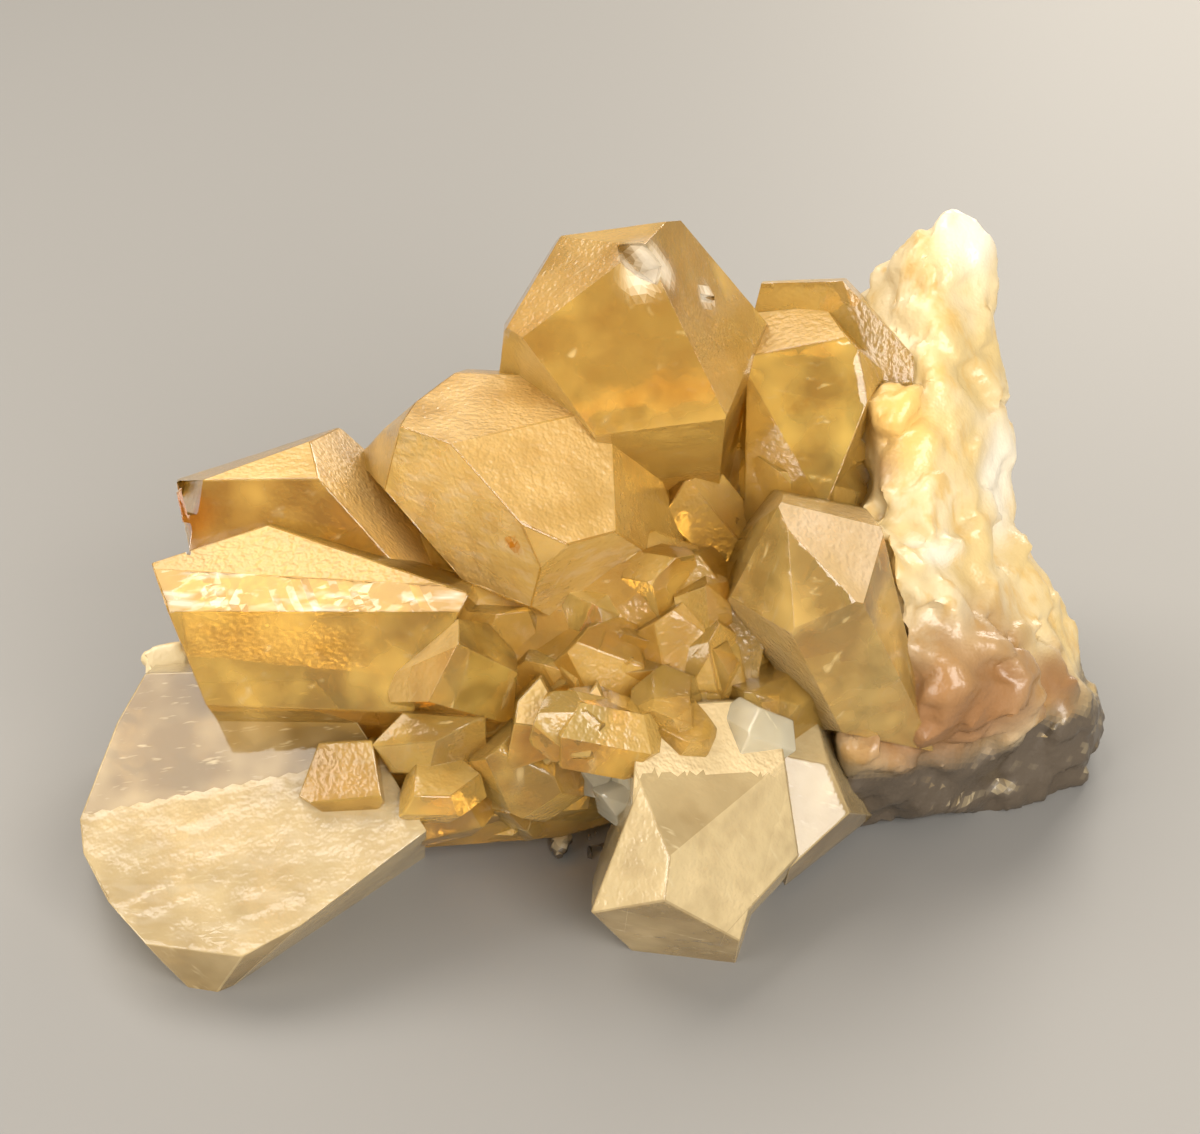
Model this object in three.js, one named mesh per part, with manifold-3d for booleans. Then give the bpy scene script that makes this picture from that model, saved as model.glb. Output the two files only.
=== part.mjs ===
// Quartz cluster on a piece of broken milky quartz, in millimetres, +Z up. Golden crystals of
// several sizes have grown out of, and into, one another, so the whole of it is one solid.
// The origin is the middle of the underside; the show side faces -Y.
import * as THREE from "three";
import { ConvexGeometry } from "three/addons/geometries/ConvexGeometry.js";
import { mergeVertices } from "three/addons/utils/BufferGeometryUtils.js";
import Module from "manifold-3d";

const wasm = await Module();
wasm.setup();

// Driving sizes of the crystals
const TIP_ANGLE = 51.8; // between the long axis and the normal of a tip face, fixed in quartz
const SIDE_STEP = 60; // between neighbouring faces round the long axis
const SIDE_SHARE = 0.8; // half width over the flats of a small crystal, as a share of its radius
const UNEVEN = 0.24; // how far neighbouring faces of a small crystal differ in size
const UNEVEN_TURN = 2.4; // spreads the large and small faces round the axis
// Driving sizes of the broken rock
const ROCK_GRAIN = 8.5; // longest edge of its triangles
const LUMP_WIDTH = 11; // from one lump to the next
const LUMP_HEIGHT = 1.5; // greatest rise or fall of a lump
const LUMP_USE = 7; // picks the set of random heights
const ROCK_SINK = 0.3; // the relief lies this much inside the blocks
// Where the piece stands
const SEAT = [1.2, 1.05, 0.4]; // middle of the underside in the frame the shapes are given in
const FLOOR_SIZE = 400; // wider than the piece, for the level cut underneath
const SAME_POINT = 1e-4;
const NEARLY_PARALLEL = 1e-4;
const ON_PLANE = 1e-5;

// Directions and planes
const radians = (degrees) => (degrees * Math.PI) / 180;

function direction(bearing, tilt) {
  const flat = Math.cos(radians(tilt));
  return new THREE.Vector3(
    flat * Math.cos(radians(bearing)),
    flat * Math.sin(radians(bearing)),
    Math.sin(radians(tilt)),
  );
}

// The plane that stands a distance off a point, square to the normal
function plane(normal, at, distance) {
  return { normal, distance: normal.dot(at) + distance };
}

// A large crystal: every face has a bearing, a tilt and a distance from the middle.
function largeCrystal({ at, faces }) {
  const middle = new THREE.Vector3(...at);
  return faces.map(([bearing, tilt, distance]) => plane(direction(bearing, tilt), middle, distance));
}

// A small crystal: six sides and a six-sided tip of uneven faces round its long axis.
function smallCrystal([x, y, z, radius, length, lean, bearing, spin]) {
  const long = direction(bearing, 90 - lean);
  const level = new THREE.Vector3(0, 0, 1).cross(long).normalize();
  const across = long.clone().cross(level);
  const middle = new THREE.Vector3(x, y, z).addScaledVector(long, -radius);
  const reach = radius * Math.cos(radians(TIP_ANGLE));
  const planes = [plane(long.clone().negate(), middle, length - radius)];
  for (let k = 0; k < 6; k += 1) {
    const turn = radians(k * SIDE_STEP + spin);
    const side = level.clone().multiplyScalar(Math.cos(turn)).addScaledVector(across, Math.sin(turn));
    const tip = side.clone().multiplyScalar(Math.sin(radians(TIP_ANGLE)));
    tip.addScaledVector(long, Math.cos(radians(TIP_ANGLE)));
    const share = 1 + UNEVEN * Math.sin(UNEVEN_TURN * k + spin);
    planes.push(plane(side, middle, SIDE_SHARE * radius * share));
    planes.push(plane(tip, middle, reach * (2 - share)));
  }
  return planes;
}

// Solids
function solidFrom(geometry) {
  const bare = geometry.clone();
  bare.deleteAttribute("normal");
  bare.deleteAttribute("uv");
  const merged = mergeVertices(bare, SAME_POINT);
  return new wasm.Manifold(
    new wasm.Mesh({
      numProp: 3,
      vertProperties: new Float32Array(merged.attributes.position.array),
      triVerts: new Uint32Array(merged.index.array),
    }),
  );
}

// The solid stretched over a few corner points
function solidOver(points) {
  return solidFrom(new ConvexGeometry(points.map((point) => new THREE.Vector3(...point))));
}

// The solid inside every plane: its corners are where three planes meet.
function solidInside(planes) {
  const corners = [];
  const a = new THREE.Vector3();
  const b = new THREE.Vector3();
  const c = new THREE.Vector3();
  for (let i = 0; i < planes.length; i += 1) {
    for (let j = i + 1; j < planes.length; j += 1) {
      for (let k = j + 1; k < planes.length; k += 1) {
        a.crossVectors(planes[j].normal, planes[k].normal);
        b.crossVectors(planes[k].normal, planes[i].normal);
        c.crossVectors(planes[i].normal, planes[j].normal);
        const volume = planes[i].normal.dot(a);
        if (Math.abs(volume) < NEARLY_PARALLEL) continue;
        const corner = new THREE.Vector3()
          .addScaledVector(a, planes[i].distance)
          .addScaledVector(b, planes[j].distance)
          .addScaledVector(c, planes[k].distance)
          .divideScalar(volume);
        if (planes.every((p) => p.normal.dot(corner) <= p.distance + ON_PLANE)) corners.push(corner);
      }
    }
  }
  return solidFrom(new ConvexGeometry(corners));
}

// Relief of the broken rock
// A number from 0 to 1 that belongs to one cell of space and one use
function cellNumber(i, j, k, use) {
  const mixed = Math.sin(i * 127.1 + j * 311.7 + k * 74.7 + use * 53.3) * 43758.5453;
  return mixed - Math.floor(mixed);
}

// Random heights on a lattice, eased from one to the next, so the surface breaks in low lumps.
function relief(point) {
  const place = point.clone().divideScalar(LUMP_WIDTH);
  const base = place.clone().floor();
  const ease = place.sub(base).toArray().map((part) => part * part * (3 - 2 * part));
  let total = 0;
  for (let corner = 0; corner < 8; corner += 1) {
    const [i, j, k] = [corner & 1, (corner >> 1) & 1, corner >> 2];
    const share = [i, j, k].reduce((part, far, axis) => part * (far ? ease[axis] : 1 - ease[axis]), 1);
    total += share * cellNumber(base.x + i, base.y + j, base.z + k, LUMP_USE);
  }
  return LUMP_HEIGHT * (2 * total - 1) - ROCK_SINK;
}

// A triangle is cut at the middles of its long edges, the same way as its neighbours are.
function cutTriangle([a, b, c], middle) {
  const ab = middle(a, b);
  const bc = middle(b, c);
  const ca = middle(c, a);
  if (ab && bc && ca) return [[a, ab, ca], [ab, b, bc], [ca, bc, c], [ab, bc, ca]];
  if (ab && bc) return [[ab, b, bc], [a, ab, bc], [a, bc, c]];
  if (ab && !ca) return [[a, ab, c], [ab, b, c]];
  if (bc || ca) return cutTriangle([b, c, a], middle);
  return [[a, b, c]];
}

function cutLongEdges(corners, triangles) {
  const middles = new Map();
  const middle = (a, b) => {
    if (corners[a].distanceTo(corners[b]) <= ROCK_GRAIN) return 0;
    const edge = Math.min(a, b) + " " + Math.max(a, b);
    if (!middles.has(edge)) {
      middles.set(edge, corners.length);
      corners.push(corners[a].clone().add(corners[b]).divideScalar(2));
    }
    return middles.get(edge);
  };
  const finer = triangles.flatMap((triangle) => cutTriangle(triangle, middle));
  return middles.size > 0 ? cutLongEdges(corners, finer) : finer;
}

// Broken rock: the solid is cut into small triangles whose corners follow the relief.
function broken(solid) {
  const mesh = solid.getMesh();
  const corners = [];
  for (let v = 0; v < mesh.numVert; v += 1) {
    corners.push(new THREE.Vector3().fromArray(mesh.vertProperties, v * mesh.numProp));
  }
  let triangles = [];
  for (let t = 0; t < mesh.numTri; t += 1) {
    triangles.push(Array.from(mesh.triVerts.slice(3 * t, 3 * t + 3)));
  }
  triangles = cutLongEdges(corners, triangles);
  const outward = corners.map(() => new THREE.Vector3());
  const normal = new THREE.Vector3();
  for (const [a, b, c] of triangles) {
    new THREE.Triangle(corners[a], corners[b], corners[c]).getNormal(normal);
    for (const v of [a, b, c]) outward[v].add(normal);
  }
  const moved = corners.map((p, v) => p.clone().addScaledVector(outward[v].normalize(), relief(p)));
  const geometry = new THREE.BufferGeometry().setFromPoints(moved);
  geometry.setIndex(triangles.flat());
  return solidFrom(geometry);
}

// The large golden crystals, from the top down. Each has its middle and its faces, and a
// face is its bearing from +X, its tilt above the level and its distance from the middle.
// The topmost one, with the chipped apex
const crown = {
  at: [6.5, 10, 68],
  faces: [
    [-92, 13, 13.4], [-18, 29, 11.3], [-160, 52, 16.3], [146, 74, 15.9], [-84, -36, 15.3],
    [-147, -26, 14.7], [167, 29, 16.2], [19, 37, 14.1], [-15, -10, 14.7], [106, 63, 14.7],
    [90, 6, 26.1], [0, -90, 28], [179, 7, 18.3],
  ],
};

// Beside it on the right
const crownTwin = {
  at: [30.5, 16, 56.5],
  faces: [
    [-95, 30, 6.1], [-157, 78, 8.7], [-24, 24, 9], [12, 43, 9.1], [-23, -11, 8.3],
    [-118, 14, 8.4], [85, 10, 9], [180, 0, 9.5], [0, -90, 20.5],
  ],
};

// Behind that one
const crownBack = {
  at: [33, 28, 62],
  faces: [
    [-92, 24, 9.3], [95, 65, 5.2], [16, 42, 5.5], [-118, 13, 6.8], [170, 10, 10],
    [8, -4, 9.7], [85, 5, 9.5], [0, -90, 27],
  ],
};

// The broad frosted one left of the middle
const shoulder = {
  at: [-8.5, 2, 52],
  faces: [
    [-51, 47, 12.6], [67, 84, 10.7], [-126, -8, 15.1], [-83, 9, 19.2], [-15, 22, 13.8],
    [-125, -46, 17.1], [-58, -20, 17.6], [-171, 11, 19.4], [150, 44, 16.7], [85, 63, 12.8],
    [165, 40, 18.1], [-1, 20, 15.6], [-152, -31, 16.4], [85, 0, 28.2], [40, -50, 27.7],
  ],
};

// The two that reach out to the left, one above the other
const leftUpper = {
  at: [-42.5, 5, 44],
  faces: [
    [-97, 22, 8.2], [-138, 84, 8.7], [10, 42, 9.5], [129, 59, 7.9], [-166, -5, 13.7],
    [80, 10, 17.6], [20, -10, 19.4], [0, -90, 20], [178, 34, 14.1], [67, 50, 14.1],
  ],
};

const leftLower = {
  at: [-40.5, -12, 34],
  faces: [
    [-104, 74, 12.2], [-97, 15, 7.9], [-100, 46, 10.3], [-95, -34, 10.1], [-165, -15, 13],
    [123, 54, 15.6], [80, 0, 13.8], [10, 20, 25.7], [-20, -20, 19.9], [0, -90, 27],
    [58, 58, 14.3],
  ],
};

// The clear smoky one right of the middle
const rightClear = {
  at: [30.5, -10, 39.5],
  faces: [
    [-44, 49, 14], [43, 64, 13], [170, 21, 12], [-142, 12, 13.5], [-95, 24, 15.6],
    [-24, 15, 10.7], [-140, -26, 10], [-79, -11, 12], [10, 14, 9.2], [68, 59, 12.9],
    [90, 0, 18], [0, -90, 29.5], [159, 31, 13.1], [-179, -7, 12.8], [-159, -30, 10.5],
    [-109, -52, 16.9],
  ],
};

// The pale frosted one at the front and what has grown on to it
const lowerPale = {
  at: [11.5, -30, 14.5],
  faces: [
    [-45, 57, 12.3], [-42, 24, 11], [-49, 18, 11.8], [-139, 25, 13.4], [-35, -23, 13.1],
    [179, 3, 6.9], [90, 60, 18.5], [90, 0, 22], [0, 10, 15.2], [0, -90, 8.5],
    [-100, -29, 12.8],
  ],
};

const lowerPaleToe = {
  at: [9.5, -34, 9.5],
  faces: [
    [-45, 57, 15.7], [-42, 24, 11.9], [-49, 18, 11.7], [-139, 25, 11.8], [-100, -29, 6.6],
    [169, 17, 8.5], [-159, -31, 8.7], [-15, -9, 11.5], [90, 50, 14.6], [90, 0, 22],
    [0, -90, 9.5],
  ],
};

const lowerPaleTwin = {
  at: [28.5, -24, 15],
  faces: [
    [-74, 38, 2.7], [2, 26, 5.4], [-42, -25, 4.6], [-172, -6, 3.9], [-40, 68, 5.8],
    [90, 0, 16], [0, -90, 12],
  ],
};

// The large pale one at the lower left
const leftPale = {
  at: [-50.5, -24, 9.5],
  faces: [
    [-112, 66, 10.6], [-105, 59, 10.4], [-102, -13, 20.5], [-57, -29, 19.7], [-42, -35, 17.6],
    [169, 27, 19.6], [176, 22, 18.3], [-167, 0, 17.7], [-153, -15, 16.4], [-143, -25, 16],
    [-144, -27, 15.7], [0, -90, 9.5], [27, 18, 23.4], [84, 12, 27.2], [95, 60, 22.6],
  ],
};

// Middle-sized brown crystals in the hollow between the large ones
const brownFirst = {
  at: [-19, -18, 32],
  faces: [
    [-144, 25, 8.3], [-65, -5, 7.9], [179, 47, 7.1], [-102, -44, 4.8], [6, 46, 9.4],
    [-167, -8, 8.2], [5, -5, 8.5], [90, 50, 7.1], [170, 27, 7.7], [26, 34, 9],
    [80, -10, 11.9], [0, -90, 22],
  ],
};

const brownSecond = {
  at: [-33.5, -22, 17.5],
  faces: [
    [-104, 34, 11], [-91, -23, 7.2], [173, 20, 5], [-132, -36, 4.8], [95, 55, 6.1],
    [6, 8, 6.1], [-34, -31, 6.8], [80, -6, 10],
  ],
};

const brownThird = {
  at: [-23, -20, 22.5],
  faces: [
    [-100, 62, 10.5], [-90, 1, 9], [-65, -4, 8.7], [154, 37, 4.9], [-152, -23, 5.4],
    [85, 60, 5.4], [-95, -50, 4], [80, -6, 10.3], [10, 0, 8.1],
  ],
};

const brightFirst = {
  at: [-7, -22, 29],
  faces: [
    [-96, 62, 9.3], [155, 37, 3.9], [178, 10, 3.5], [17, 26, 3.3], [-100, -6, 8.9],
    [80, -6, 5.9], [-60, -50, 5.5],
  ],
};

const brightSecond = {
  at: [-1, -21, 29.5],
  faces: [
    [-88, 60, 8.5], [155, 35, 1.4], [-31, -28, 1.7], [14, 22, 3.2], [-110, 8, 8.9],
    [80, -6, 7.2], [-60, -50, 5.4],
  ],
};

// Blocks of the broken rock, by their corner points. The upright spire
const spire = [
  [49, 31, 76.5], [51, 32, 77], [53.5, 33, 75.5], [57, 32, 71], [58, 31, 67],
  [57.5, 28, 61.5], [47, 29, 75], [44, 30, 72.5], [41.5, 31, 67], [38.5, 33, 63.5],
  [38.5, 20, 53], [57, 21, 52.5], [46.5, 13, 57], [43, 40, 62], [51, 40, 63],
  [36, 46, 50], [56, 46, 54], [54, 48, 36], [34, 48, 36],
];

// The wall it rises from
const wall = [
  [38.5, 22, 55], [56.5, 25, 59], [57.5, 22, 52], [59.5, 20, 46.5], [61, 19, 37],
  [60.5, 18, 34], [46, 12, 57.5], [39.5, 2, 47.5], [45.5, -4, 45], [55, 2, 38],
  [39, 6, 50], [42, -2, 34], [56, 4, 30], [34, 48, 45], [56, 48, 38],
  [60, 44, 24], [30, 48, 10], [64, 46, 10],
];

// The bulge at the right
const block = [
  [60, 18, 34.5], [64.5, 17, 29.5], [67.5, 16, 25.5], [69, 15, 21.5], [71.5, 14, 16],
  [73, 12, 12.5], [75, 10, 9], [74.5, 6, 3.5], [44.5, -6, 43], [51.5, -6, 38],
  [45, -10, 33], [60.5, -3, 28], [64.5, -2, 18.5], [67, 40, 10], [67, 24, 12],
  [60, 44, 20], [40, 46, 10], [40, 20, 4],
];

// What the right side stands on
const foot = [
  [75, 10, 7], [74.5, 6, 3.5], [72, 1, 0.5], [64.5, -3, 0.5], [58.5, -6, 1.5],
  [49.5, -7.5, 0.5], [43.5, -13, 9.5], [36.5, -17, 18], [45, -13, 26.5], [54.5, -10, 23],
  [64, -3, 19.5], [71, 30, 0], [60, 44, 0], [20, 46, 0], [12, 20, 0],
  [28, -4, 2], [70, 20, 7], [60, 46, 12],
];

// Below the clear crystal
const underClear = [
  [34.5, -19, 23.5], [42.5, -16, 17], [49, -10, 5.5], [40.5, -12, 3.5], [36.5, -12, 0.5],
  [34, -16, 10], [35.5, -14, 15.5], [36, 10, 14], [45, 10, 10], [30, 0, 6],
];

const bump = [
  [37.5, 12, 58.5], [39.5, 13, 59.5], [43, 13, 59], [45, 11.5, 56], [45.5, 10, 52],
  [43, 8.5, 50.5], [39, 9, 51], [37.5, 10, 55.5], [41, 8.5, 56.5], [36, 32, 44],
  [42, 30, 52],
];

const ridge = [
  [38.5, 1, 46], [40, -1, 46.5], [47, -8, 42], [54, -9, 35], [58, -8, 30],
  [52.5, -12, 33], [44.5, -13, 40.5], [40, -13, 47.5], [38, -11, 51], [39.5, -14, 42.5],
  [41, -14, 35.5], [45, -14, 34], [34, 20, 22], [50, 24, 14], [36, 16, 40],
];

const lobe = [
  [53.5, 10, 39], [59.5, 15, 36.5], [63.5, 15, 31], [66.5, 13, 27], [68, 11, 23.5],
  [70, 9, 19], [71.5, 7, 15.5], [67, 2, 17], [61.5, -1, 26], [57, 2, 32],
  [54.5, 6, 35.5], [61.5, 4.5, 29.5], [55, 42, 24], [64, 34, 12],
];

const lump = [
  [41, -15, 36], [44.5, -13, 38.5], [49.5, -13.5, 35], [54.5, -12, 35], [59, -9, 32],
  [63, -7, 25.5], [63.5, -7, 17.5], [59, -10, 16], [52.5, -13, 17.5], [46, -15, 19.5],
  [42, -16, 22], [50.5, -18, 30.5], [56.5, -15, 28], [45.5, -17.5, 30], [32, 10, 8],
  [56, 16, 8],
];

const endBlock = [
  [65, -2, 19], [70.5, 4, 16], [74.5, 8, 11.5], [75.5, 8, 6.5], [74, 5, 2.5],
  [71, 1, 1], [64.5, -5, 10], [67, -4, 16], [71.5, 2, 14], [66, 24, 6],
  [54, 18, 6],
];

const shardLeft = [
  [-6.5, -15, 2], [-5.5, -18, -0], [-3.5, -17.5, 3], [-2.5, -14, 2], [-4.5, -12, 3],
];

const shardRight = [
  [-2, -15, 2.5], [1.5, -17, -1.5], [3, -15, 0.5], [0.5, -12, 3], [-1, -16, 0.5],
];

// The middle, hidden under the crystals
const core = [
  [-43, 20, 26], [-25.5, 24, 37.5], [-5, 28, 45.5], [15.5, 32, 50], [38.5, 28, 48.5],
  [41, 18, 41], [-40, 8, 9.5], [-25, -2, 6], [-4.5, -8, 5.5], [15, -10, 12.5],
  [37, 0, 8.5], [-40, 26, 6], [-26, 40, 4], [-30, 38, 30], [0, 44, 44],
  [38, 46, 50], [10, 46, 4], [40, 46, 4], [-20, 10, 6], [10, 4, 6],
  [30, 0, 8],
];

// What the back stands on
const heel = [
  [-34, 30, 0], [-22, 44, 0], [-2, 47, 0], [12, 44, 0], [10, 24, 0],
  [-18, 20, 0], [-32, 34, 12], [-20, 44, 14], [10, 46, 14], [10, 20, 12],
  [-20, 18, 12],
];

// The crystal mass that the small crystals grow out of
const heart = [
  [-27.5, -10, 31], [-20.5, -8, 40.5], [-4.5, -8, 42.5], [3.5, -10, 41], [14, -10, 46.5],
  [23, -14, 35.5], [21, -18, 23.5], [6.5, -21, 19], [-4.5, -22, 16.5], [-16.5, -23, 10.5],
  [-25.5, -23, 7], [-28.5, -22, 21.5], [-4.5, -18, 5], [2.5, -16, 6], [-10, 20, 30],
  [20, 20, 30], [-26, 10, 12], [20, 14, 8],
];

// The flake behind the lower left crystal
const slab = [
  [-65, 6, 20], [-62.5, 8, 20.5], [-59, 8, 20.5], [-57, 4, 17.5], [-60, 0, 17],
  [-64, 2, 18], [-66, 16, 11], [-60, 16, 11], [-58, 10, 8],
];

// Small crystals: tip x, y, z, radius, length, lean from upright, bearing, spin
const smallOnes = [
  [-23, -25.5, 20, 6.7, 14, 74, -120, 0],
  [-25, -35.5, 22.5, 4.6, 12, 92, -130, 15],
  [-21, -25.5, 14, 5.3, 12, 88, -75, 40],
  [-14, -31, 30, 7.9, 16.5, 52, -125, 22],
  [-7, -25.5, 22, 8.9, 17, 50, -60, 48],
  [-11.5, -26, 19.5, 5.9, 12, 66, -140, 12],
  [-17, -25.5, 17.5, 5.9, 12, 74, -60, 30],
  [-11, -15.5, 42, 8.7, 16.5, 34, -60, 18],
  [-4, -20.5, 39.5, 9.3, 17.5, 44, -130, 41],
  [2, -18.5, 40, 7.5, 15.5, 38, -50, 9],
  [-15.5, -26, 14, 6.9, 15, 84, -110, 9],
  [-9, -25.5, 16.5, 6.9, 15, 80, -70, 33],
  [-23.5, -31, 14, 5.3, 13, 100, -120, 21],
  [-13, -22.5, 8, 5.3, 12, 100, -100, 36],
  [-6.5, -22, 10.5, 5.3, 12, 96, -70, 36],
  [9, -17, 43, 9.5, 18.5, 30, -120, 28],
  [10, -20, 36, 8.1, 16.5, 52, -50, 37],
  [17, -17.5, 41, 9.7, 19.5, 34, -70, 15],
  [19, -20.5, 33, 9.3, 17.5, 40, -125, 50],
  [3.5, -21.5, 33, 8.1, 16.5, 58, -60, 35],
  [-4, -37, 36.5, 7.1, 16.5, 62, -120, 27],
  [-12, -24.5, 29.5, 7.5, 15.5, 50, -75, 3],
  [1, -23.5, 28, 6.5, 15.5, 64, -70, 20],
  [38, 12.5, 51, 3.6, 9, 42, -50, 20],
  [32.5, 3.5, 50, 8, 15, 50, -80, 26],
  [23, 6.5, 51.5, 6.4, 15, 36, -120, 11],
  [17, 14, 39, 5, 18, 22, -110, 39],
  [12, -12.5, 48, 6.6, 15, 36, -50, 17],
  [13, 4, 50, 8, 16, 34, -110, 2],
  [8.5, 0.5, 48.5, 6, 14, 42, -60, 33],
  [6.5, -9, 46.5, 6.4, 14, 42, -110, 33],
  [2.5, -25, 24.5, 6.6, 13, 46, -112, 12],
  [-0.5, -25.5, 20, 6.4, 12, 62, -140, 31],
  [-2.5, -24, 23, 5.4, 13, 52, -130, 44],
  [4.5, -21, 15, 5.2, 12, 74, -122, 7],
  [20.5, -28.5, 30.5, 5.6, 11, 58, -95, 8],
  [-0.5, -15.5, 43, 5.7, 13.5, 40, -90, 25],
  [6, -18, 39, 6.1, 14.5, 46, -75, 5],
  [1, -20, 36, 6.1, 14.5, 50, -120, 14],
  [-4.5, -21.5, 33, 6.3, 14.5, 52, -80, 29],
  [8, -30.5, 35.5, 6.3, 14.5, 56, -105, 17],
  [14, -19, 37.5, 5.9, 13.5, 40, -110, 42],
  [14, -15, 45, 5.7, 13.5, 34, -95, 10],
  [-8.5, -19.5, 36, 5.3, 13.5, 44, -120, 36],
  [12.5, -32, 32.5, 5.7, 13.5, 60, -80, 31],
  [-8, -34.5, 38, 5.7, 13.5, 56, -140, 7],
  [4.5, -20, 36.5, 5.1, 12.5, 48, -60, 50],
  [-3, -21.5, 12.5, 5, 11, 84, -95, 20],
  [-18, -30, 25.5, 5.1, 11, 66, -95, 12],
];

// Chips: one out of the topmost apex, one on its right edge, two at the left end
const apexChip = [
  [2.4, 1.3, 86], [6.2, -0.1, 87.2], [9.6, 0, 84], [9, -4.5, 82.3], [6, -4.3, 83],
  [2.8, -3, 85.2], [3.4, 4.3, 84.2], [6.3, 2.6, 85], [8.5, 2.8, 81.8], [8, 0.4, 80.8],
  [6.1, 4.3, 80.5], [4.5, 4.7, 82.3],
];

const edgeNick = [
  [13.1, 2.9, 78.6], [16.2, 7.7, 76], [16.4, 6.2, 74.7], [13.6, 1.5, 77], [14.1, 6.7, 76.2],
  [16, 10, 74], [15.5, 7.7, 74.4], [14.9, 9.2, 74.4],
];

const endNick = [
  [-56.8, 2.6, 50.6], [-51.2, -3, 53.7], [-52.1, -4.7, 49.2], [-57.1, 2.7, 44.9], [-60.1, 17.8, 41.6],
  [-59.7, 17.7, 36.6], [-54.5, 6.8, 47.2], [-55.8, 6.9, 43.2], [-59.6, 23.4, 37.6],
];

const endNickLow = [
  [-57.5, 2.7, 43.9], [-53, -5.1, 48.1], [-52, -13.5, 48.5], [-58.3, 2.7, 39.1], [-60.4, 16, 35.6],
  [-60.3, 15.9, 30.6], [-55.4, 2.2, 42.6], [-56.8, 6.4, 37], [-58.5, 10.2, 36.9],
];

// Joining
const crystals = [
  crown, crownTwin, crownBack, shoulder, leftUpper, leftLower,
  rightClear, lowerPale, lowerPaleToe, lowerPaleTwin, leftPale,
  brownFirst, brownSecond, brownThird, brightFirst, brightSecond,
];
const rocks = [
  spire, wall, bump, block, ridge, lobe, lump, endBlock, foot, underClear, core, heel,
  shardLeft, shardRight,
];
const chips = [apexChip, edgeNick, endNick, endNickLow];

const join = (solids) => solids.reduce((whole, solid) => whole.add(solid));
const cluster = join([
  broken(join(rocks.map(solidOver))),
  solidOver(heart),
  solidOver(slab),
  ...crystals.map((crystal) => solidInside(largeCrystal(crystal))),
  ...smallOnes.map((row) => solidInside(smallCrystal(row))),
]);
const above = new THREE.BoxGeometry(FLOOR_SIZE, FLOOR_SIZE, FLOOR_SIZE);
above.translate(0, 0, SEAT[2] + FLOOR_SIZE / 2);
const standing = chips
  .reduce((whole, chip) => whole.subtract(solidOver(chip)), cluster)
  .intersect(solidFrom(above));

// Gaps closed in on every side between the crystals are filled: only the outer skin is kept.
function outerSkin(mesh) {
  const group = Array.from({ length: mesh.numVert }, (_, v) => v);
  const leader = (v) => (group[v] === v ? v : leader(group[v]));
  const corners = mesh.triVerts;
  for (let t = 0; t < corners.length; t += 3) {
    for (const v of [corners[t + 1], corners[t + 2]]) group[leader(v)] = leader(corners[t]);
  }
  let highest = 0;
  for (let v = 1; v < mesh.numVert; v += 1) {
    if (mesh.vertProperties[3 * v + 2] > mesh.vertProperties[3 * highest + 2]) highest = v;
  }
  const kept = [];
  for (let t = 0; t < corners.length; t += 3) {
    if (leader(corners[t]) === leader(highest)) kept.push(...corners.slice(t, t + 3));
  }
  const geometry = new THREE.BufferGeometry();
  geometry.setAttribute("position", new THREE.BufferAttribute(mesh.vertProperties, 3));
  geometry.setIndex(kept);
  geometry.deleteAttribute("normal");
  return mergeVertices(geometry.toNonIndexed(), SAME_POINT);
}

// The part
const geometry = outerSkin(standing.getMesh());
geometry.translate(-SEAT[0], -SEAT[1], -SEAT[2]);

const quartz = new THREE.MeshStandardMaterial({ color: 0xd9ae62, roughness: 0.25, metalness: 0 });
const body = new THREE.Mesh(geometry, quartz);
body.name = "quartz_cluster";

const part = new THREE.Group();
part.add(body);

export default part;
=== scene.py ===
# %% [markdown]
# # A quartz cluster
# The real thing is one piece of stone: golden crystals, a clear smoky one and pale frosted ones
# that have grown out of broken milky rock, and into each other. It is made here the way it grew.
# Every crystal is the space inside a few flat faces, the crystals of one kind are joined, the
# faces then get the relief they grew or broke with, and the rock is a rough lump that runs on
# underneath them.

import itertools
import bmesh
import bpy
import numpy as np
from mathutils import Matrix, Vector


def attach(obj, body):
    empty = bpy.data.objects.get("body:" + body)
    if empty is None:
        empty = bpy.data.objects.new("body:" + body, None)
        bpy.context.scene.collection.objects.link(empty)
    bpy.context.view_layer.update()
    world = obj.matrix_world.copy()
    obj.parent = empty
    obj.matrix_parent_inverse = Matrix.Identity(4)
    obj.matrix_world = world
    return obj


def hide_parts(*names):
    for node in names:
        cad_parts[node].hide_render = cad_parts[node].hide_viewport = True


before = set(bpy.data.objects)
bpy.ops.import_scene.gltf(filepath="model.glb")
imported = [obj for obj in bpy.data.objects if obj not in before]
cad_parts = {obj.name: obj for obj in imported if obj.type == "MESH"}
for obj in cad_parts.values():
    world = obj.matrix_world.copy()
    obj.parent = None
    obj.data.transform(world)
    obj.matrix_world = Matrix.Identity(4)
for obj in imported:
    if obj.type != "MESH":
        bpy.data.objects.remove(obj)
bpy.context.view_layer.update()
print("frame nodes:", sorted(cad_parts))

# %% [markdown]
# ## Small helpers
# All lengths are given in millimetres in one place and turned to metres when a mesh is made. The
# origin of the part is the middle of its underside. SEAT is where that point lies in the frame
# that the faces were measured in.

# %% Units, colours and nodes
MM = 0.001
SEAT = np.array([1.2, 1.05, 0.4])
# sRGB is a straight line up to this value and a power of 2.4 above it
SRGB_KNEE = 0.04045


def linear(hex_colour):
    """An sRGB hex colour as linear red, green, blue and alpha."""
    values = np.array([int(hex_colour[i : i + 2], 16) for i in (1, 3, 5)]) / 255
    curve = np.where(values <= SRGB_KNEE, values / 12.92, ((values + 0.055) / 1.055) ** 2.4)
    return (*curve.tolist(), 1.0)


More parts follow.
